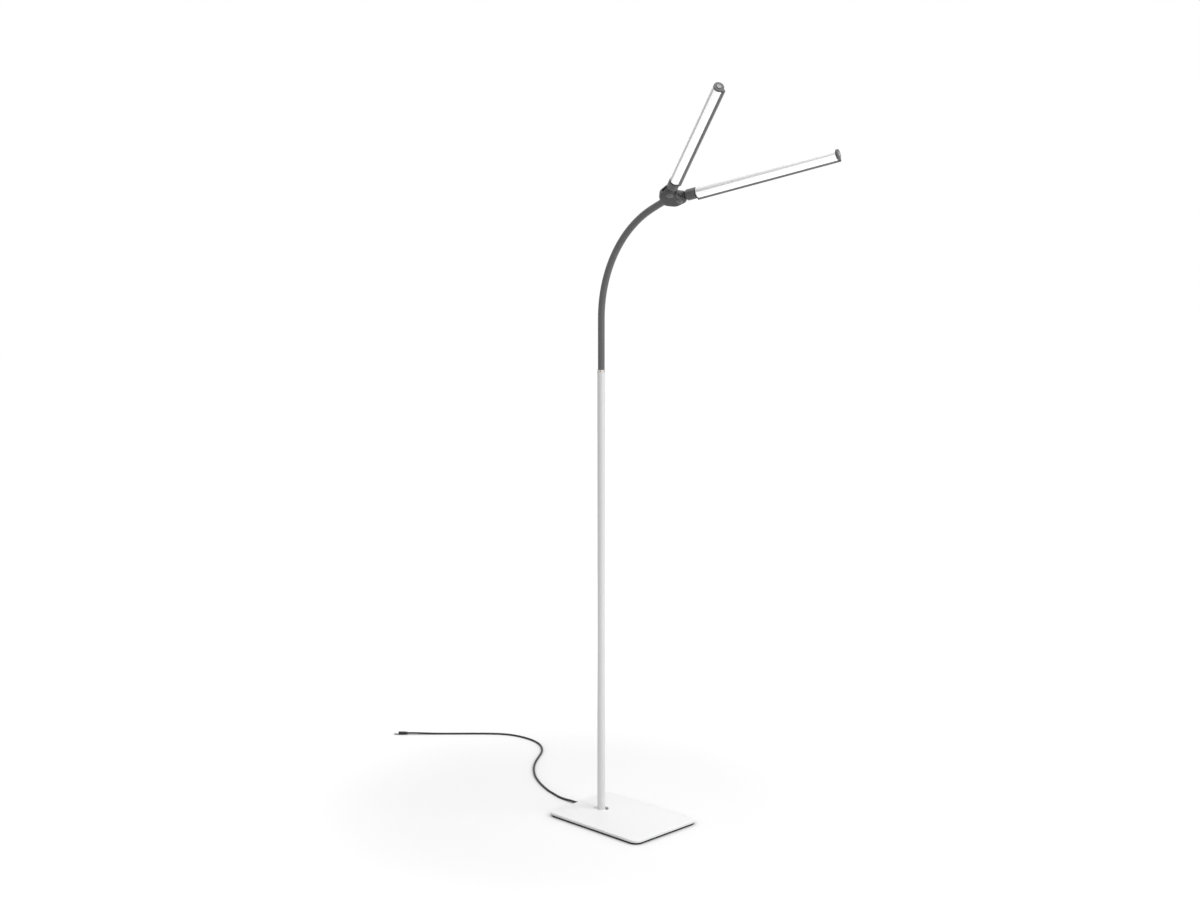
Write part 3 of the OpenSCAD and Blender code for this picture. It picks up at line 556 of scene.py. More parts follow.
@dataclass
class Studio:
    """Camera, lights, floor and background."""

    eye: tuple[float, float, float] = (2.7605, -2.7968, 1.4010)  # Place of the camera
    look: tuple[float, float, float] = (-0.6936, 0.7018, -0.1625)  # Direction it looks in
    lens: float = 60.0  # Focal length in millimetres
    sensor: float = 36.0  # Width of the sensor in millimetres
    clip: Point = (0.05, 60.0)  # Nearest and farthest distance that the camera sees
    floor_size: float = 16.0  # Side of the floor
    floor_grey: float = 0.9  # The floor's own grey
    glow_span: Point = (0.3, 1.5)  # Distances between which the floor's added light grows
    # The floor's colour and its added light are darkened near the object by ambient occlusion:
    # painted contact shade.
    painted_contact_shade: float = 30 * MM  # How far from the object the floor darkens under it
    middle: tuple[float, float, float] = (0.1, 0.0, 0.8)  # Point that the lamps aim at

    def camera(self) -> None:
        """Places the camera at the photograph's viewpoint."""
        data = bpy.data.cameras.new("camera")
        data.lens, data.sensor_width = self.lens, self.sensor
        data.clip_start, data.clip_end = self.clip
        camera = bpy.data.objects.new("camera", data)
        bpy.context.scene.collection.objects.link(camera)
        camera.location = self.eye
        camera.rotation_euler = Vector(self.look).to_track_quat("-Z", "Y").to_euler()
        bpy.context.scene.camera = camera

    def seen_directly(self, tree: Tree) -> Socket:
        """Mask of rays that come from the camera, or by way of gloss or glass.

        Args:
            tree: Nodes of the floor or the world.

        Returns:
            The mask's socket.
        """
        path = add_node(tree, "LightPath")
        total = path.outputs["Is Camera Ray"]
        for name in ("Is Glossy Ray", "Is Transmission Ray"):
            total = combine(tree, "MAXIMUM", total, path.outputs[name])
        return total

    def world(self, fill: float) -> None:
        """White where it is seen, plain soft light elsewhere.

        Args:
            fill: Strength of its light on the object.
        """
        world = bpy.data.worlds.new("studio")
        bpy.context.scene.world = world
        world.use_nodes = True
        tree = world.node_tree
        ends = {"To Min": fill, "To Max": 1.0}
        reach = add_node(tree, "MapRange", {"Value": self.seen_directly(tree), **ends})
        inputs = {"Color": WHITE, "Strength": reach.outputs["Result"]}
        set_inputs(tree, tree.nodes["Background"], inputs)

    def floor(self, glow: float, far_glow: float) -> None:
        """Pale floor that shows white, keeps the object's shadow and adds a painted contact shade
        beside the object.

        Args:
            glow: Strength that is added where the floor is seen, beside the base.
            far_glow: Strength that is added away from the base.
        """
        bpy.ops.object.select_all(action="DESELECT")
        bpy.ops.mesh.primitive_plane_add(size=self.floor_size)
        floor = bpy.context.object
        floor.name = "floor"
        material = bpy.data.materials.new("floor")
        material.use_nodes = True
        tree = material.node_tree
        place = add_node(tree, "TexCoord").outputs["Object"]
        distance = add_node(tree, "VectorMath", {0: place}, operation="LENGTH").outputs["Value"]
        near, far = self.glow_span
        ends = {"From Min": near, "From Max": far, "To Min": glow, "To Max": far_glow}
        reach = add_node(
            tree, "MapRange", {"Value": distance, **ends}, interpolation_type="SMOOTHSTEP"
        )
        grey_floor = (self.floor_grey, self.floor_grey, self.floor_grey, 1)
        # Ambient occlusion darkens the floor's colour and its added light next to the object: painted
        # contact shade.
        inputs = {"Color": grey_floor, "Distance": self.painted_contact_shade}
        painted_contact_shade = add_node(tree, "AmbientOcclusion", inputs)
        seen = combine(tree, "MULTIPLY", self.seen_directly(tree), reach.outputs["Result"])
        inputs = {
            "Base Color": painted_contact_shade.outputs["Color"],
            "Roughness": 1.0,
            "Specular IOR Level": 0.0,
            "Emission Color": WHITE,
            "Emission Strength": combine(tree, "MULTIPLY", seen, painted_contact_shade.outputs["AO"]),
        }
        set_inputs(tree, tree.nodes["Principled BSDF"], inputs)
        floor.data.materials.append(material)

    def lights(self) -> None:
        """Key from the right and above, weak fill from the left, and light from above."""
        middle = Vector(self.middle)
        ahead = Vector((self.look[0], self.look[1], 0)).normalized()
        right = Vector((ahead.y, -ahead.x, 0))
        for name, aside, back, rise, size, power in (
            ("key", 2.4, 1.4, 2.0, 3.0, 78.0),
            ("fill", -2.6, 1.6, 1.0, 2.2, 3.0),
            ("top", 0.0, 0.0, 3.2, 2.4, 72.0),
        ):
            data = bpy.data.lights.new(name, "AREA")
            data.shape, data.size, data.energy = "SQUARE", size, power
            lamp = bpy.data.objects.new(name, data)
            bpy.context.scene.collection.objects.link(lamp)
            lamp.location = middle + aside * right - back * ahead + Vector((0, 0, rise))
            lamp.rotation_euler = (middle - lamp.location).to_track_quat("-Z", "Y").to_euler()

    def build(self) -> None:
        """Sets up the studio."""
        self.camera()
        self.world(fill=0.22)
        self.floor(glow=0.15, far_glow=0.8)
        self.lights()
        bpy.context.scene.view_settings.view_transform = "Standard"


@dataclass
class Cord:
    """The cord on the floor, with its strain relief and connector."""

    diameter: float = 4.0 * MM  # Thickness of the cord
    length: float = 0.741  # Length of the cord from the strain relief to the connector
    relief_root: float = 2.9 * MM  # Radius of the strain relief at the base
    relief_tip: float = 2.15 * MM  # Radius of the strain relief at its free end
    grip_length: float = 22.0 * MM  # Length of the connector's grip
    grip_full: float = 3.6 * MM  # Radius of the grip
    grip_slim: float = 2.3 * MM  # Radius of the grip at the cord

    # Middle line of the cord, in millimetres.
    route: ClassVar[list[tuple[float, float, float]]] = [
        (-82, 0, 3.6), (-87, 0, 3.6), (-94, 0, 3.3), (-105, 0, 2.7), (-118, 1, 2.2), (-134, 4, 2),
        (-152, 9, 2), (-170, 14, 2), (-190, 22, 2), (-212, 32, 2), (-236, 45, 2), (-258, 59, 2),
        (-280, 76, 2), (-300, 94, 2), (-319, 114, 2), (-337, 137, 2), (-353, 160, 2),
        (-370, 184, 2), (-391, 205, 2), (-414, 220, 2), (-437, 228, 2), (-460, 231, 2),
        (-483, 230, 2), (-504, 226, 2), (-522, 219, 2), (-538, 209, 2), (-555, 195, 2),
        (-575, 176, 2), (-600, 151, 2), (-625, 126, 2), (-645, 106, 2.2), (-660, 91, 2.8),
        (-671, 80, 3.4), (-681, 70, 3.7), (-689, 62, 3.7),
    ]

    def jacket(self) -> Piece:
        """The cord itself, one smooth curve through the route's points.

        Returns:
            The curve.
        """
        data = bpy.data.curves.new("power_cord_jacket", "CURVE")
        data.dimensions = "3D"
        data.bevel_depth = self.diameter / 2
        data.bevel_resolution = 6
        data.use_fill_caps = True
        data.resolution_u = 8
        spline = data.splines.new("BEZIER")
        spline.bezier_points.add(len(self.route) - 1)
        for knot, point in zip(spline.bezier_points, self.route):
            knot.co = Vector(point) * MM
            knot.handle_left_type = knot.handle_right_type = "AUTO"
        cord = bpy.data.objects.new("power_cord_jacket", data)
        bpy.context.scene.collection.objects.link(cord)
        return cord

    def relief(self) -> Piece:
        """Tapered sleeve with grooves that let it bend.

        Returns:
            The sleeve.
        """
        low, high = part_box("strain_relief")
        length = high.x - low.x
        centre = (low + high) / 2
        grooves, width, depth, rounding = 5, 0.9 * MM, 0.5 * MM, 0.15 * MM
        # Shares of the length between which the grooves lie.
        first, last = 0.34 * length, 0.9 * length

        def radius(at: float) -> float:
            """Radius of the taper at a distance from its root."""
            return self.relief_root + (self.relief_tip - self.relief_root) * at / length

        profile: list[Point] = [(0.0, 0.0), (self.relief_root, 0.0)]
        for k in range(grooves):
            at = first + (last - first) * k / (grooves - 1)
            floor = radius(at) - depth
            profile += [
                (radius(at - width / 2), at - width / 2),
                (floor, at - width / 4),
                (floor, at + width / 4),
                (radius(at + width / 2), at + width / 2),
            ]
        profile += [(radius(length), length), (0.0, length)]
        sleeve = turned("cord_relief", profile, steps=40)
        soften(sleeve, rounding)
        shade(sleeve)
        root = Matrix.Translation((high.x, centre.y, centre.z))
        return apply_place(sleeve, root @ turn_about("Y", -90))

    def end_frame(self) -> Matrix:
        """Frame of the connector: at the cord's end, with Z outwards.

        Returns:
            The frame.
        """
        end, before = Vector(self.route[-1]) * MM, Vector(self.route[-2]) * MM
        outwards = (end - before).normalized()
        return Matrix.Translation(end) @ outwards.to_track_quat("Z", "Y").to_matrix().to_4x4()

    def grip(self) -> Piece:
        """Moulded grip of the connector, with shallow finger ribs.

        Returns:
            The grip.
        """
        ribs, pitch, depth = 5, 1.7 * MM, 0.3 * MM
        end, rounding = 1.0 * MM, 0.1 * MM
        full, start = self.grip_full, self.grip_length / 3
        profile: list[Point] = [(0.0, 0.0), (self.grip_slim, 0.0), (full, start)]
        for k in range(ribs):
            at = start + end + k * pitch
            profile += [(full, at), (full - depth, at + pitch / 4), (full, at + pitch / 2)]
        profile += arc((full - end, self.grip_length - end), end, 0, 90, ROUND_STEPS)
        grip = turned("connector_grip_shell", [*profile, (0.0, self.grip_length)], steps=40)
        soften(grip, rounding)
        shade(grip)
        return apply_place(grip, self.end_frame())

    def build(self) -> None:
        cord, relief, grip = self.jacket(), self.relief(), self.grip()
        Workshop.dress_node("connector_barrel", BRIGHT_BARREL)
        Workshop.hand_over(cord, CORD_JACKET, "stand", ["power_cord"])
        Workshop.hand_over(relief, CORD_JACKET, "stand", ["strain_relief"])
        Workshop.hand_over(grip, CORD_JACKET, "stand", ["connector_grip"])


@dataclass
class Stand:
    """Base and pole."""

    corner: float = 16.0 * MM  # Radius of the plate's corners
    plate_edge: float = 0.8 * MM  # Rounding of its edges
    pad_inset: float = 1.5 * MM  # How much smaller the pad's corners are
    pad_floor: float = 0.6 * MM  # Thickness of the pad under the nut
    dish_radius: float = 15.5 * MM  # Radius of the dish round the pole
    dish_depth: float = 0.8 * MM  # Depth of the dish
    hole_radius: float = 4.85 * MM  # Radius of the hole for the nipple
    pocket_radius: float = 12.0 * MM  # Radius of the nut pocket below
    pocket_depth: float = 2.4 * MM  # Depth of that pocket
    slot_inner: float = 8.8 * MM  # Inner radius of the crescent opening
    slot_outer: float = 14.7 * MM  # Outer radius of the crescent opening
    slot_from: float = 20.0  # Angle at which the crescent starts, in degrees
    slot_to: float = 150.0  # Angle at which it ends, in degrees
    pole_wall: float = 1.2 * MM  # Wall of the pole
    pole_lip: float = 0.35 * MM  # Rounding of its rim
    pins: int = 6  # Number of rim pins
    pin_radius: float = 1.55 * MM  # Radius of the holes for the rim pins
    pin_drop: float = 2.6 * MM  # Distance of those holes below the rim

    def slab(self, name: str, node: str, corner: float) -> Piece:
        """A slab as large as a node, with rounded corners and edges.

        Args:
            name: Name of the new object.
            node: The node whose box it fills.
            corner: Radius of its corners.

        Returns:
            The slab.
        """
        low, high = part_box(node)
        size = high - low
        slab = block(name, Matrix.Translation((low + high) / 2) @ Matrix.Diagonal((*size, 1.0)))
        mesh = slab.data
        for item in (*mesh.vertices, *mesh.polygons):
            item.select = False
        for edge in mesh.edges:
            ends = [mesh.vertices[i].co for i in edge.vertices]
            edge.select = abs(ends[0].z - ends[1].z) > size.z / 2
        bpy.context.tool_settings.mesh_select_mode = (False, True, False)
        bpy.ops.object.mode_set(mode="EDIT")
        bpy.ops.mesh.bevel(offset=corner, segments=16, affect="EDGES")
        bpy.ops.mesh.select_mode(type="VERT")
        bpy.ops.object.mode_set(mode="OBJECT")
        soften(slab, self.plate_edge, steps=4, angle=60.0)
        return slab

    def plate(self) -> Piece:
        """The white plate with its dish, the line round it, crescent, hole and pocket.

        Returns:
            The plate.
        """
        plate = self.slab("base_plate_skin", "base_plate", self.corner)
        low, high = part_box("base_plate")
        under, over = low.z - OVERRUN, high.z + OVERRUN
        floor, roof = high.z - self.dish_depth, low.z + self.pocket_depth
        line = band(self.slot_outer, self.dish_radius, floor - self.dish_depth, over)
        slot = band(self.slot_inner, self.slot_outer, under, over)
        sweep = self.slot_to - self.slot_from
        cut(
            plate,
            turned("line", line, MANY_STEPS),
            turned("dish", band(0.0, self.dish_radius, floor, over), MANY_STEPS),
            turned("hole", band(0.0, self.hole_radius, under, high.z), FEW_STEPS),
            turned("pocket", band(0.0, self.pocket_radius, under, roof)),
            turned("slot", slot, steps=40, first=self.slot_from, sweep=sweep),
        )
        shade(plate)
        return plate

    def pad(self) -> Piece:
        """The pad under the plate, with room for the nut.

        Returns:
            The pad.
        """
        pad = self.slab("base_pad_skin", "base_pad", self.corner - self.pad_inset)
        low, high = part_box("base_pad")
        room = band(0.0, self.pocket_radius, low.z + self.pad_floor, high.z + OVERRUN)
        cut(pad, turned("pocket", room))
        shade(pad)
        return pad

    def pole(self) -> Piece:
        """The pole's tube with a rounded rim and its pin holes.

        Returns:
            The tube.
        """
        low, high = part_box("pole_tube")
        outer, lip = high.x, self.pole_lip
        inner = outer - self.pole_wall
        profile = [(inner, low.z), (outer, low.z)]
        profile += arc((outer - lip, high.z - lip), lip, 0, 90, ROUND_STEPS)
        profile += arc((inner + lip, high.z - lip), lip, 90, 180, ROUND_STEPS)
        pole = turned("pole_skin", profile, MANY_STEPS)
        for k in range(self.pins):
            hole = band(0.0, self.pin_radius, inner - OVERRUN, outer + OVERRUN)
            rise = Matrix.Translation((0, 0, high.z - self.pin_drop))
            place = turn_about("Z", 360 / self.pins * k) @ rise @ turn_about("Y", 90)
            cut(pole, apply_place(turned("drill", hole, steps=32), place))
        shade(pole)
        return pole

    def build(self) -> None:
        """Makes the stand's pieces and dresses its hardware."""
        pad = self.pad()
        Workshop.hand_over(self.plate(), WHITE_COAT, "stand", ["base_plate"])
        Workshop.hand_over(pad, PAD_RUBBER, "stand", ["base_pad"])
        Workshop.hand_over(self.pole(), POLE_PAINT, "stand", ["pole_tube"])
        for node, finish in (
            ("pole_foot", PLAIN_STEEL),
            ("pole_nipple", PLAIN_BRASS),
            ("pole_washer", PLAIN_STEEL),
            ("pole_nut", PLAIN_BRASS),
            ("rim_pins", PLAIN_BRASS),
            ("supply_lead", CORD_JACKET),
        ):
            Workshop.dress_node(node, finish)


@dataclass
class Gooseneck:
    """The sleeve over the links, one stretch for each joint between two links."""

    radius: float = 6.75 * MM  # Radius of the sleeve
    curve_start: float = 1016.0 * MM  # Height at which the curve starts
    curve_radius: float = 245.0 * MM  # Radius of the curve
    link_angle: float = 8.0  # Angle of the curve on each link, in degrees
    bends: int = 8  # Number of links that bend
    sways: int = 2  # Number of links below them that sway
    seat: float = 6.0 * MM  # How far the sleeve reaches down into the pole
    reach: float = 30.0 * MM  # Straight length before the hub
    rings: int = 8  # Rings along each stretch

    def point(self, turn: float) -> Vector:
        """A point of the curve's middle line.

        Args:
            turn: Angle from the curve's start, in degrees.

        Returns:
            The point.
        """
        a = math.radians(turn)
        across = self.curve_radius * (1 - math.cos(a))
        return Vector((across, 0, self.curve_start + self.curve_radius * math.sin(a)))

    def run(self, length: float, turn: float) -> None:
        """Extrudes the open end straight on, in edit mode.

        Args:
            length: How far.
            turn: Lean of the run, in degrees.
        """
        lean = math.radians(turn)
        step = Vector((math.sin(lean), 0, math.cos(lean))) * (length / self.rings)
        for _ in range(self.rings if length > 0 else 0):
            bpy.ops.mesh.extrude_region_move(TRANSFORM_OT_translate={"value": step})

    def stretch(
        self, name: str, low: Vector, straight: float, turn: float, bend: float, tail: float
    ) -> Piece:
        """One closed stretch: a straight run, then a bend, then a straight tail.

        Args:
            name: Name of the new object.
            low: Middle of its lower end.
            straight: Length of the run before the bend.
            turn: Lean of the stretch at its lower end, in degrees.
            bend: Angle it bends through, in degrees.
            tail: Length of the run after the bend.

        Returns:
            The stretch.
        """
        bpy.ops.object.select_all(action="DESELECT")
        bpy.ops.mesh.primitive_circle_add(
            vertices=FEW_STEPS,
            radius=self.radius,
            fill_type="NGON",
            location=low,
            rotation=(0, math.radians(turn), 0),
        )
        piece = bpy.context.object
        piece.name = name
        bpy.ops.object.transform_apply(location=True, rotation=True, scale=True)
        bpy.ops.object.mode_set(mode="EDIT")
        bpy.ops.mesh.select_all(action="SELECT")
        self.run(straight, turn)
        if bend > 0:
            centre = (self.curve_radius, 0, self.curve_start)
            bpy.ops.mesh.spin(
                steps=self.rings, angle=math.radians(bend), center=centre, axis=(0, -1, 0)
            )
        self.run(tail, turn + bend)
        weld_and_turn_out()
        bpy.ops.object.mode_set(mode="OBJECT")
        shade(piece)
        return piece

    def build(self) -> None:
        """Makes the stretches and bends each across its joint."""
        pitch = 2 * self.curve_radius * math.tan(math.radians(self.link_angle / 2))
        last = self.sways + self.bends
        for k in range(1, last + 1):
            name = f"neck_sleeve_{k}"
            if k <= self.sways:
                middle = Vector((0, 0, self.curve_start - (self.sways + 1 - k) * pitch))
                end = middle + Vector((0, 0, pitch))
                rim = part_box("pole_tube")[1].z - self.seat
                low = Vector((0, 0, rim)) if k == 1 else middle
                piece = self.stretch(name, low, end.z - low.z, 0.0, 0.0, 0.0)
                span = (middle, end)
            else:
                turn = (k - self.sways - 1) * self.link_angle
                tail = self.reach if k == last else 0.0
                span = (self.point(turn), self.point(turn + self.link_angle))
                piece = self.stretch(name, span[0], 0.0, turn, self.link_angle, tail)
            bodies = ("stand" if k == 1 else f"neck_link_{k - 1}", f"neck_link_{k}")
            gone = ["neck_root", "neck_link_1"] if k == 1 else [f"neck_link_{k}"]
            if k == last:
                # Counted from the hub's side, the last stretch stays steady.
                bodies, span = bodies[::-1], span[::-1]
            Workshop.hand_over(piece, NECK_SLEEVE, bodies, gone, span=span)


def joint_place(joint: str, along: Vector, away: Vector) -> Matrix:
    """A frame at a joint, with its X along one direction and its Z along another."""
    turn = Matrix((along, away.cross(along), away)).transposed()
    return Matrix.Translation(JOINTS[joint]["pos_m"]) @ turn.to_4x4()


@dataclass
class Hub:
    """The two-shell hub with its caps."""

    offset: float = 12.4 * MM  # Half the distance between the pivots
    half: float = 10.0 * MM  # Half the thickness
    edge: float = 6.0 * MM  # Rounding of the edges
    lobe: float = 13.2 * MM  # Radius of a front lobe
    shoulder: float = 16.0 * MM  # Radius of a shoulder
    shoulder_back: float = 12.0 * MM  # How far the shoulders stand behind the pivots
    shoulder_side: float = 8.0 * MM  # How far they stand from the middle
    rear: float = 16.7 * MM  # Radius of the rear
    rear_back: float = 17.0 * MM  # How far its middle stands behind the pivots
    flat: float = 0.4  # Faces that lean less than this against each other become one, in degrees
    valley: float = 13.0 * MM  # Radius of the valley's ball
    valley_ahead: float = 16.4 * MM  # How far that ball stands in front of the pivots
    seat: float = 11.7 * MM  # Radius of a knuckle's seat
    seat_extra: float = 0.4 * MM  # How much deeper a seat is than a rim slot
    slot_half: float = 3.3 * MM  # Half the height of a rim slot
    slot_from: float = -18.3  # Angle at which a rim slot starts, in degrees
    slot_to: float = 136.0  # Angle at which it ends, in degrees
    bore: float = 4.55 * MM  # Radius of the stem's bore
    bore_span: Point = (-37 * MM, -20 * MM)  # Ends of that bore along the neck
    parting: float = 0.35 * MM  # Rounding of the edges where the shells meet
    cap: float = 6.5 * MM  # Radius of a pivot cap
    cap_rise: float = 2.8 * MM  # Its height
    cap_lip: float = 0.25 * MM  # Height of its rim

    def place(self) -> Matrix:
        """Frame of the hub: X along the neck, Y towards arm B, Z away from the capped face."""
        ahead, away = (Vector(JOINTS[name]["axis"]) for name in ("hub_twist", "arm_b_swing"))
        return joint_place("hub_twist", ahead, away)

    def half_puck(self, radius: float, middle: Point) -> Piece:
        """Half of a rounded puck.

        Args:
            radius: Its radius.
            middle: Its middle.

        Returns:
            The half puck, flat side at height 0.
        """
        rim = arc((radius - self.edge, self.half - self.edge), self.edge, 0, 90, 2 * ROUND_STEPS)
        puck = turned("puck", [(0.0, 0.0), (radius, 0.0), *rim, (0.0, self.half)])
        return apply_place(puck, Matrix.Translation((*middle, 0.0)))

    def pebble(self, name: str) -> Piece:
        """Half of the hub's outer form, over the flat face at height 0.

        Args:
            name: Name of the new object.

        Returns:
            The half.
        """
        pucks = [self.half_puck(self.rear, (-self.rear_back, 0.0))]
        for side in (-1, 1):
            shoulder = (-self.shoulder_back, side * self.shoulder_side)
            pucks.append(self.half_puck(self.lobe, (0.0, side * self.offset)))
            pucks.append(self.half_puck(self.shoulder, shoulder))
        select_only(pucks[0])
        for puck in pucks[1:]:
            puck.select_set(True)
        bpy.ops.object.join()
        shell = bpy.context.object
        shell.name = name
        bpy.ops.object.mode_set(mode="EDIT")
        bpy.ops.mesh.select_all(action="SELECT")
        bpy.ops.mesh.convex_hull()
        bpy.ops.mesh.select_all(action="SELECT")
        bpy.ops.mesh.dissolve_limited(angle_limit=math.radians(self.flat))
        weld_and_turn_out()
        bpy.ops.object.mode_set(mode="OBJECT")
        return shell

    def shell(self, name: str, lower: bool) -> Piece:
        """One shell, with its valley, seats, slots and a soft parting edge.

        Args:
            name: Name of the new object.
            lower: True for the shell with the caps.

        Returns:
            The shell in its place.
        """
        shell = self.pebble(name)
        bpy.ops.object.select_all(action="DESELECT")
        bpy.ops.mesh.primitive_uv_sphere_add(
            segments=MANY_STEPS,
            ring_count=FEW_STEPS,
            radius=self.valley,
            location=(self.valley_ahead, 0, self.half),
        )
        cut(shell, bpy.context.object)
        sector = band(0.0, 2 * self.rear_back, -OVERRUN, self.slot_half)
        round_seat = band(0.0, self.seat, -OVERRUN, self.slot_half + self.seat_extra)
        for side in (-1, 1):
            first = self.slot_from if side > 0 else -self.slot_to
            slot = turned("slot", sector, FEW_STEPS, first, self.slot_to - self.slot_from)
            seat = turned("seat", round_seat)
            for tool in (slot, seat):
                apply_place(tool, Matrix.Translation((0, side * self.offset, 0)))
            cut(shell, slot, seat)
        bore = turned("bore", band(0.0, self.bore, *self.bore_span), FEW_STEPS)
        cut(shell, apply_place(bore, turn_about("Y", 90)))
        soften(shell, self.parting, angle=50.0)
        shade(shell, angle=30.0)
        if lower:
            apply_place(shell, turn_about("X", 180))
        return apply_place(shell, self.place())

    def pivot_cap(self, name: str, side: int) -> Piece:
        """Soft domed cap over a pivot.

        Args:
            name: Name of the new object.
            side: -1 for arm A, 1 for arm B.

        Returns:
            The cap in its place.
        """
        dome = (self.cap**2 + self.cap_rise**2) / (2 * self.cap_rise)
        reach = math.degrees(math.asin(self.cap / dome))
        crown = arc((0.0, self.cap_rise - dome), dome, 90 - reach, 90, steps=12)
        profile = [(0.0, 0.0), (self.cap, 0.0), (self.cap, self.cap_lip)]
        profile += [(r, max(z, self.cap_lip)) for r, z in crown[1:]]
        cap = turned(name, profile)
        shade(cap)
        face = Matrix.Translation((0, side * self.offset, -self.half)) @ turn_about("X", 180)
        return apply_place(cap, self.place() @ face)

    def build(self) -> None:
        """Makes the shells and caps, and dresses the parts inside."""
        for half in ("lower", "upper"):
            shell = self.shell(f"hub_{half}_skin", half == "lower")
            Workshop.hand_over(shell, HUB_PLASTIC, "hub", [f"hub_{half}_shell"])
        for side, letter in ((-1, "a"), (1, "b")):
            cap = self.pivot_cap(f"pivot_cap_skin_{letter}", side)
            Workshop.hand_over(cap, CAP_PLASTIC, "hub", [f"pivot_cap_{letter}"])
            Workshop.dress_node(f"pivot_pin_{letter}", PLAIN_STEEL, self.place())
            Workshop.dress_node(f"friction_washers_{letter}", WASHER_FIBRE)
        Workshop.dress_node("hub_screws", PLAIN_STEEL, self.place())
        Workshop.dress_node("wire_board", BOARD_GREEN)


@dataclass
class BarLight:
    """One arm with its bar light."""

    letter: str  # "a" or "b"
    turn: float = 51.0  # Turn of the bar about its own axis, in degrees
    radius: float = 9.7 * MM  # Radius of the round side
    tail: float = 14.1 * MM  # Distance from the axis to the sharp edge
    tail_half: float = 2.1 * MM  # Half the width of that edge
    tail_root: float = 25.0  # Angle at which its flanks leave the round side, in degrees
    split: float = 9.9 * MM  # Distance from the axis to the rail
    wall: float = 1.2 * MM  # Wall of housing and diffuser
    seam: float = 105.0  # Angle from the sharp edge round to the seam, in degrees
    collar_radius: float = 10.75 * MM  # Radius of the collar
    collar_span: Point = (13.9 * MM, 34.0 * MM)  # Distances of the collar's ends from the pivot
    collar_chamfer: float = 2.0 * MM  # Chamfer of its near end
    collar_lip: float = 0.5 * MM  # Rounding of its edges
    collar_bore: float = 6.7 * MM  # Radius of its room for the bush
    collar_floor: float = 2.6 * MM  # Thickness of its near end
    slot_half: float = 3.05 * MM  # Half the width of the tongue's slot in the collar
    slot_depth: float = 2.0 * MM  # Depth of that slot
    cap_span: Point = (34.3 * MM, 36.8 * MM)  # Distances of the inner cap's ends
    bush: float = 6.4 * MM  # Radius of the inner cap's bush
    bush_start: float = 16.8 * MM  # Distance of the bush's near end
    axle: float = 4.05 * MM  # Radius of the bush's bore
    shell_end: float = 320.0 * MM  # Distance of the housing's end
    tip: float = 324.0 * MM  # Distance of the end cap's face
    groove_span: Point = (5.0 * MM, 5.6 * MM)  # Radii of the groove round the button
    groove_depth: float = 0.4 * MM  # Depth of that groove
    button_radius: float = 4.5 * MM  # Radius of the push button
    proud: float = 1.0 * MM  # How far the button stands out
    button_depth: float = 2.95 * MM  # How far it reaches in
    flange: float = 5.4 * MM  # Radius of its flange
    flange_thick: float = 0.9 * MM  # Thickness of the flange
    dimple: float = 1.3 * MM  # Radius of the dimple in its face
    steps: int = 56  # Faces round the section and round the end cap's openings

    def axis_place(self) -> Matrix:
        """Frame on the bar's axis: Z along the bar, X towards the hub's capped face.

        Returns:
            The frame.
        """
        swing = f"arm_{self.letter}_swing"
        along = Vector(JOINTS[f"bar_{self.letter}_roll"]["axis"])
        away = Vector(JOINTS[swing]["axis"]) * (1 if self.letter == "b" else -1)
        return joint_place(swing, along, away) @ turn_about("Y", 90)

    def bar_place(self) -> Matrix:
        """Frame of the bar: Z along it, X towards its sharp edge."""
        return self.axis_place() @ turn_about("Z", self.turn)

    def flank_line(self, radius: float) -> tuple[float, float]:
        """The straight flank beside the sharp edge.

        Args:
            radius: Radius of the round side that the flank leaves.

        Returns:
            Angle of its normal, and its distance from the axis.
        """
        a = math.radians(self.tail_root)
        root = Vector((self.radius * math.cos(a), self.radius * math.sin(a)))
        along = Vector((self.tail, self.tail_half)) - root
        turn = math.pi / 2 + math.atan2(along.y, along.x)
        reach = root.dot(Vector((math.cos(turn), math.sin(turn))))
        return turn, reach - (self.radius - radius)

    def flank_angle(self, radius: float) -> float:
        """Angle at which a flank leaves the round side, in degrees."""
        turn, reach = self.flank_line(radius)
        return math.degrees(turn - math.acos(reach / radius))

    def flank(self, radius: float, x: float) -> float:
        """Half width of the section at a distance from the axis towards the sharp edge."""
        turn, reach = self.flank_line(radius)
        return (reach - x * math.cos(turn)) / math.sin(turn)

    def seam_angle(self) -> float:
        """Angle of the wall's inner corner where housing and diffuser meet.

        Returns:
            The angle in degrees, below 0.
        """
        a = math.radians(-self.seam)
        outer = Vector((self.radius * math.cos(a), self.radius * math.sin(a)))
        chord = (Vector((self.split, 0.0)) - outer).normalized()
        middle = outer.dot(chord)
        inner = self.radius - self.wall
        reach = -middle - math.sqrt(middle**2 - outer.length_squared + inner**2)
        corner = outer + chord * reach
        return math.degrees(math.atan2(corner.y, corner.x))

    def wall_outline(
        self, side: int, outer_seam: float, inner_seam: float, steps: int
    ) -> list[Point]:
        """Outline of the wall between the rail and the seam.

        Args:
            side: 1 for the housing, -1 for the diffuser.
            outer_seam: Angle of the outer corner at the seam, in degrees.
            inner_seam: Angle of the inner corner there, in degrees.
            steps: Stretches of each round part.

        Returns:
            The corners.
        """
        middle, outer, inner = (0.0, 0.0), self.radius, self.radius - self.wall
        ends = [(self.split, side * self.flank(r, self.split)) for r in (outer, inner)]
        flanks = [side * self.flank_angle(r) for r in (outer, inner)]
        return [
            ends[0],
            *arc(middle, outer, flanks[0], outer_seam, steps),
            *arc(middle, inner, inner_seam, flanks[1], steps),
            ends[1],
        ]

    def teardrop(self) -> list[Point]:
        """Whole outline of the section, up to the sharp edge.

        Returns:
            The corners.
        """
        root, half = self.flank_angle(self.radius), self.flank(self.radius, self.tail)
        round_side = arc((0.0, 0.0), self.radius, root, 360.0 - root, self.steps)
        return [(self.tail, half), *round_side, (self.tail, -half)]

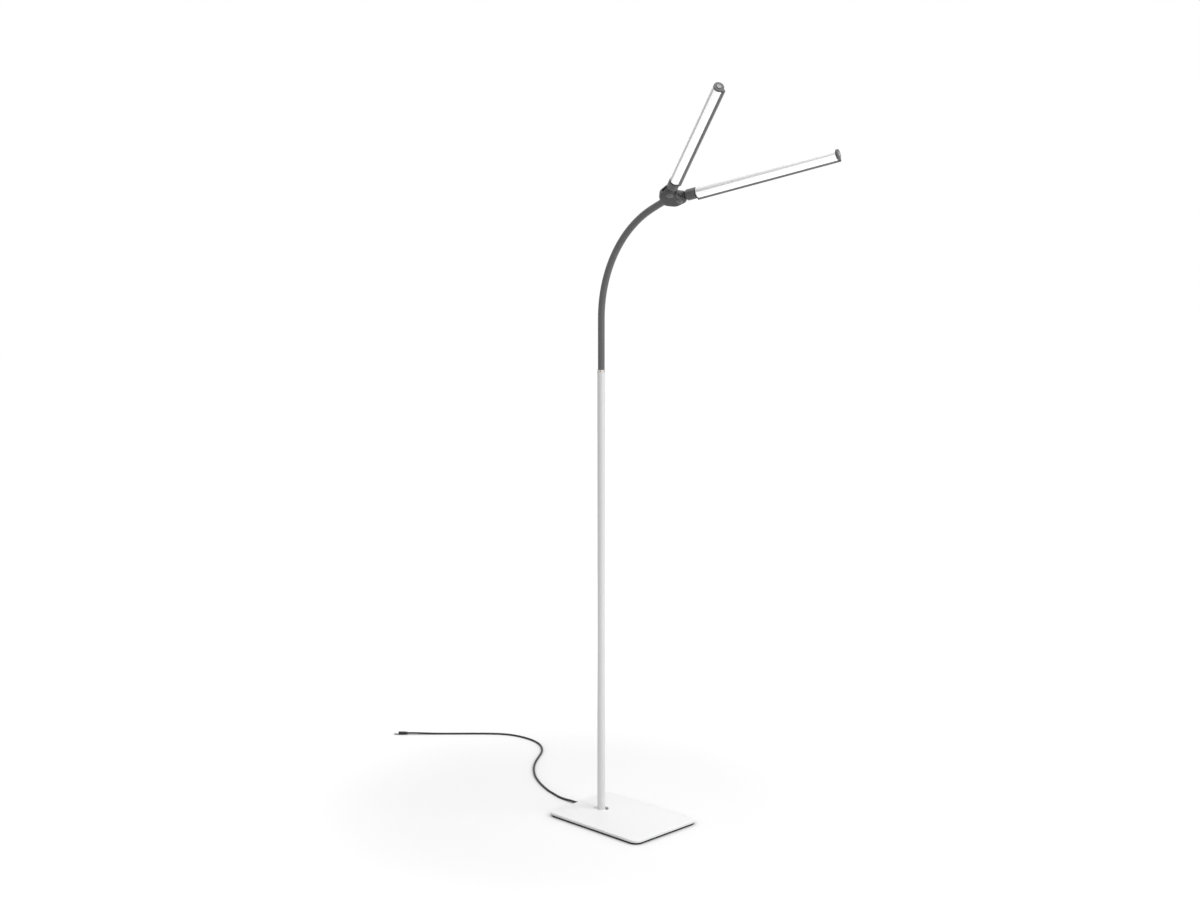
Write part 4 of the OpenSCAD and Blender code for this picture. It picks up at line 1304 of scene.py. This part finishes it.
    def collar(self) -> Piece:
        """Cup with a chamfered near end and the tongue's slot.

        Returns:
            The collar in its place.
        """
        low, high = self.collar_span
        r, chamfer, lip = self.collar_radius, self.collar_chamfer, self.collar_lip
        bore, floor = self.collar_bore, low + self.collar_floor
        profile = [(0.0, low), (r - chamfer - lip, low)]
        profile += arc((r - chamfer - lip, low + lip), lip, -90, -45, steps=3)
        profile += arc((r - lip, low + chamfer + lip), lip, -45, 0, steps=3)
        profile += arc((r - lip, high - lip), lip, 0, 90, ROUND_STEPS)
        profile += [(bore, high), (bore, floor), (0.0, floor)]
        collar = turned(f"collar_skin_{self.letter}", profile, steps=72)
        size = Matrix.Diagonal((2 * self.slot_half, 4 * r, 2 * self.slot_depth, 1.0))
        cut(collar, block("slot", Matrix.Translation((0, 0, low)) @ size))
        shade(collar)
        return apply_place(collar, self.axis_place())

    def inner_cap(self) -> Piece:
        """Plate at the bar's inner end, with its bush.

        Returns:
            The cap in its place.
        """
        low, high = self.cap_span
        # The bush ends inside the plate, so that the two fuse.
        rounding, overlap, clear = 0.4 * MM, 0.5 * MM, 0.8 * MM
        cap = prism(f"inner_cap_skin_{self.letter}", self.teardrop(), low, high)
        soften(cap, rounding, steps=3, angle=50.0)
        bush = band(0.0, self.bush, self.bush_start, low + overlap)
        cut(cap, turned("bush", bush), operation="UNION")
        axle = band(0.0, self.axle, self.bush_start - clear, high + OVERRUN)
        cut(cap, turned("axle_hole", axle, FEW_STEPS))
        shade(cap)
        return apply_place(cap, self.bar_place())

    def end_cap(self) -> Piece:
        """Cap at the tip, with a ring round the button.

        Returns:
            The cap in its place.
        """
        low, high = self.shell_end, self.tip
        rounding, face, play, flange_play = 0.7 * MM, 2.0 * MM, 0.05 * MM, 0.3 * MM
        cap = prism(f"end_cap_skin_{self.letter}", self.teardrop(), low, high)
        soften(cap, rounding, steps=4, angle=50.0)
        under, over = low - OVERRUN, high + OVERRUN
        cut(
            cap,
            turned("seat", band(0.0, self.button_radius + play, under, over), self.steps),
            turned("room", band(0.0, self.flange + flange_play, under, high - face), self.steps),
            turned("groove", band(*self.groove_span, high - self.groove_depth, over), self.steps),
        )
        shade(cap)
        return apply_place(cap, self.bar_place())

    def button(self) -> Piece:
        """Push button with a crowned face and a small dimple.

        Returns:
            The button in its place.
        """
        r, flange, dimple = self.button_radius, self.flange, self.dimple
        lip, sink, bottom = 0.5 * MM, 0.25 * MM, 0.35 * MM
        low, face = self.tip - self.button_depth, self.tip + self.proud
        step = low + self.flange_thick
        profile = [(0.0, low), (flange, low), (flange, step), (r, step)]
        profile += arc((r - lip, face - lip), lip, 0, 90, ROUND_STEPS)
        profile += [(dimple, face), (0.6 * dimple, face - sink), (0.0, face - bottom)]
        button = turned(f"button_skin_{self.letter}", profile, self.steps)
        shade(button)
        return apply_place(button, self.bar_place())

    def shells(self) -> None:
        """Housing, diffuser and rail, in their places and finishes."""
        place, body, letter = self.bar_place(), f"bar_{self.letter}", self.letter
        seam, inner_seam = -self.seam, self.seam_angle()
        flank = self.flank(self.radius, self.split)
        housing = self.wall_outline(1, 360.0 + seam, 360.0 + inner_seam, steps=40)
        diffuser = self.wall_outline(-1, seam, inner_seam, steps=24)
        rail = [(self.split, -flank), (self.tail, -self.tail_half)]
        rail += [(self.tail, self.tail_half), (self.split, flank)]
        pieces = []
        for node, outline in (("housing", housing), ("diffuser", diffuser), ("rail", rail)):
            name = f"{node}_skin_{letter}"
            pieces.append(prism(name, outline, self.cap_span[1], self.shell_end))
        for piece, rounding in zip(pieces, (0.2 * MM, 0.2 * MM, 0.35 * MM)):
            soften(piece, rounding, angle=30.0)
            shade(piece, angle=25.0)
            apply_place(piece, place)
        housing, diffuser, rail = pieces
        Workshop.hand_over(housing, BAR_WHITE, body, [f"housing_{letter}"])
        Workshop.hand_over(diffuser, OPAL, body, [f"diffuser_{letter}"])
        Workshop.hand_over(rail, RAIL_GREY, body, [f"rail_{letter}"], turn=place)

    def build(self) -> None:
        """Makes the arm and the bar, and dresses the parts inside."""
        letter, place = self.letter, self.bar_place()
        Workshop.hand_over(self.collar(), END_PLASTIC, f"arm_{letter}", [f"collar_{letter}"])
        Workshop.hand_over(self.inner_cap(), HUB_PLASTIC, f"bar_{letter}", [f"inner_cap_{letter}"])
        Workshop.hand_over(self.end_cap(), END_PLASTIC, f"bar_{letter}", [f"end_cap_{letter}"])
        self.shells()
        button_body = JOINTS[f"button_{letter}_press"]["child"]
        Workshop.hand_over(self.button(), BUTTON_SILVER, button_body, [f"button_{letter}"])
        for node, finish in (
            ("knuckle", KNUCKLE_GREY),
            ("axle_clip", PLAIN_STEEL),
            ("light_board", BOARD_WHITE),
            ("push_switch", SWITCH_BLACK),
        ):
            Workshop.dress_node(f"{node}_{letter}", finish, place)


def main() -> None:
    logging.basicConfig(level=logging.INFO, format="%(name)s: %(message)s")
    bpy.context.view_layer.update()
    Studio().build()
    Cord().build()
    Stand().build()
    Gooseneck().build()
    Hub().build()
    for letter in ("a", "b"):
        BarLight(letter).build()


if __name__ == "__main__":
    main()
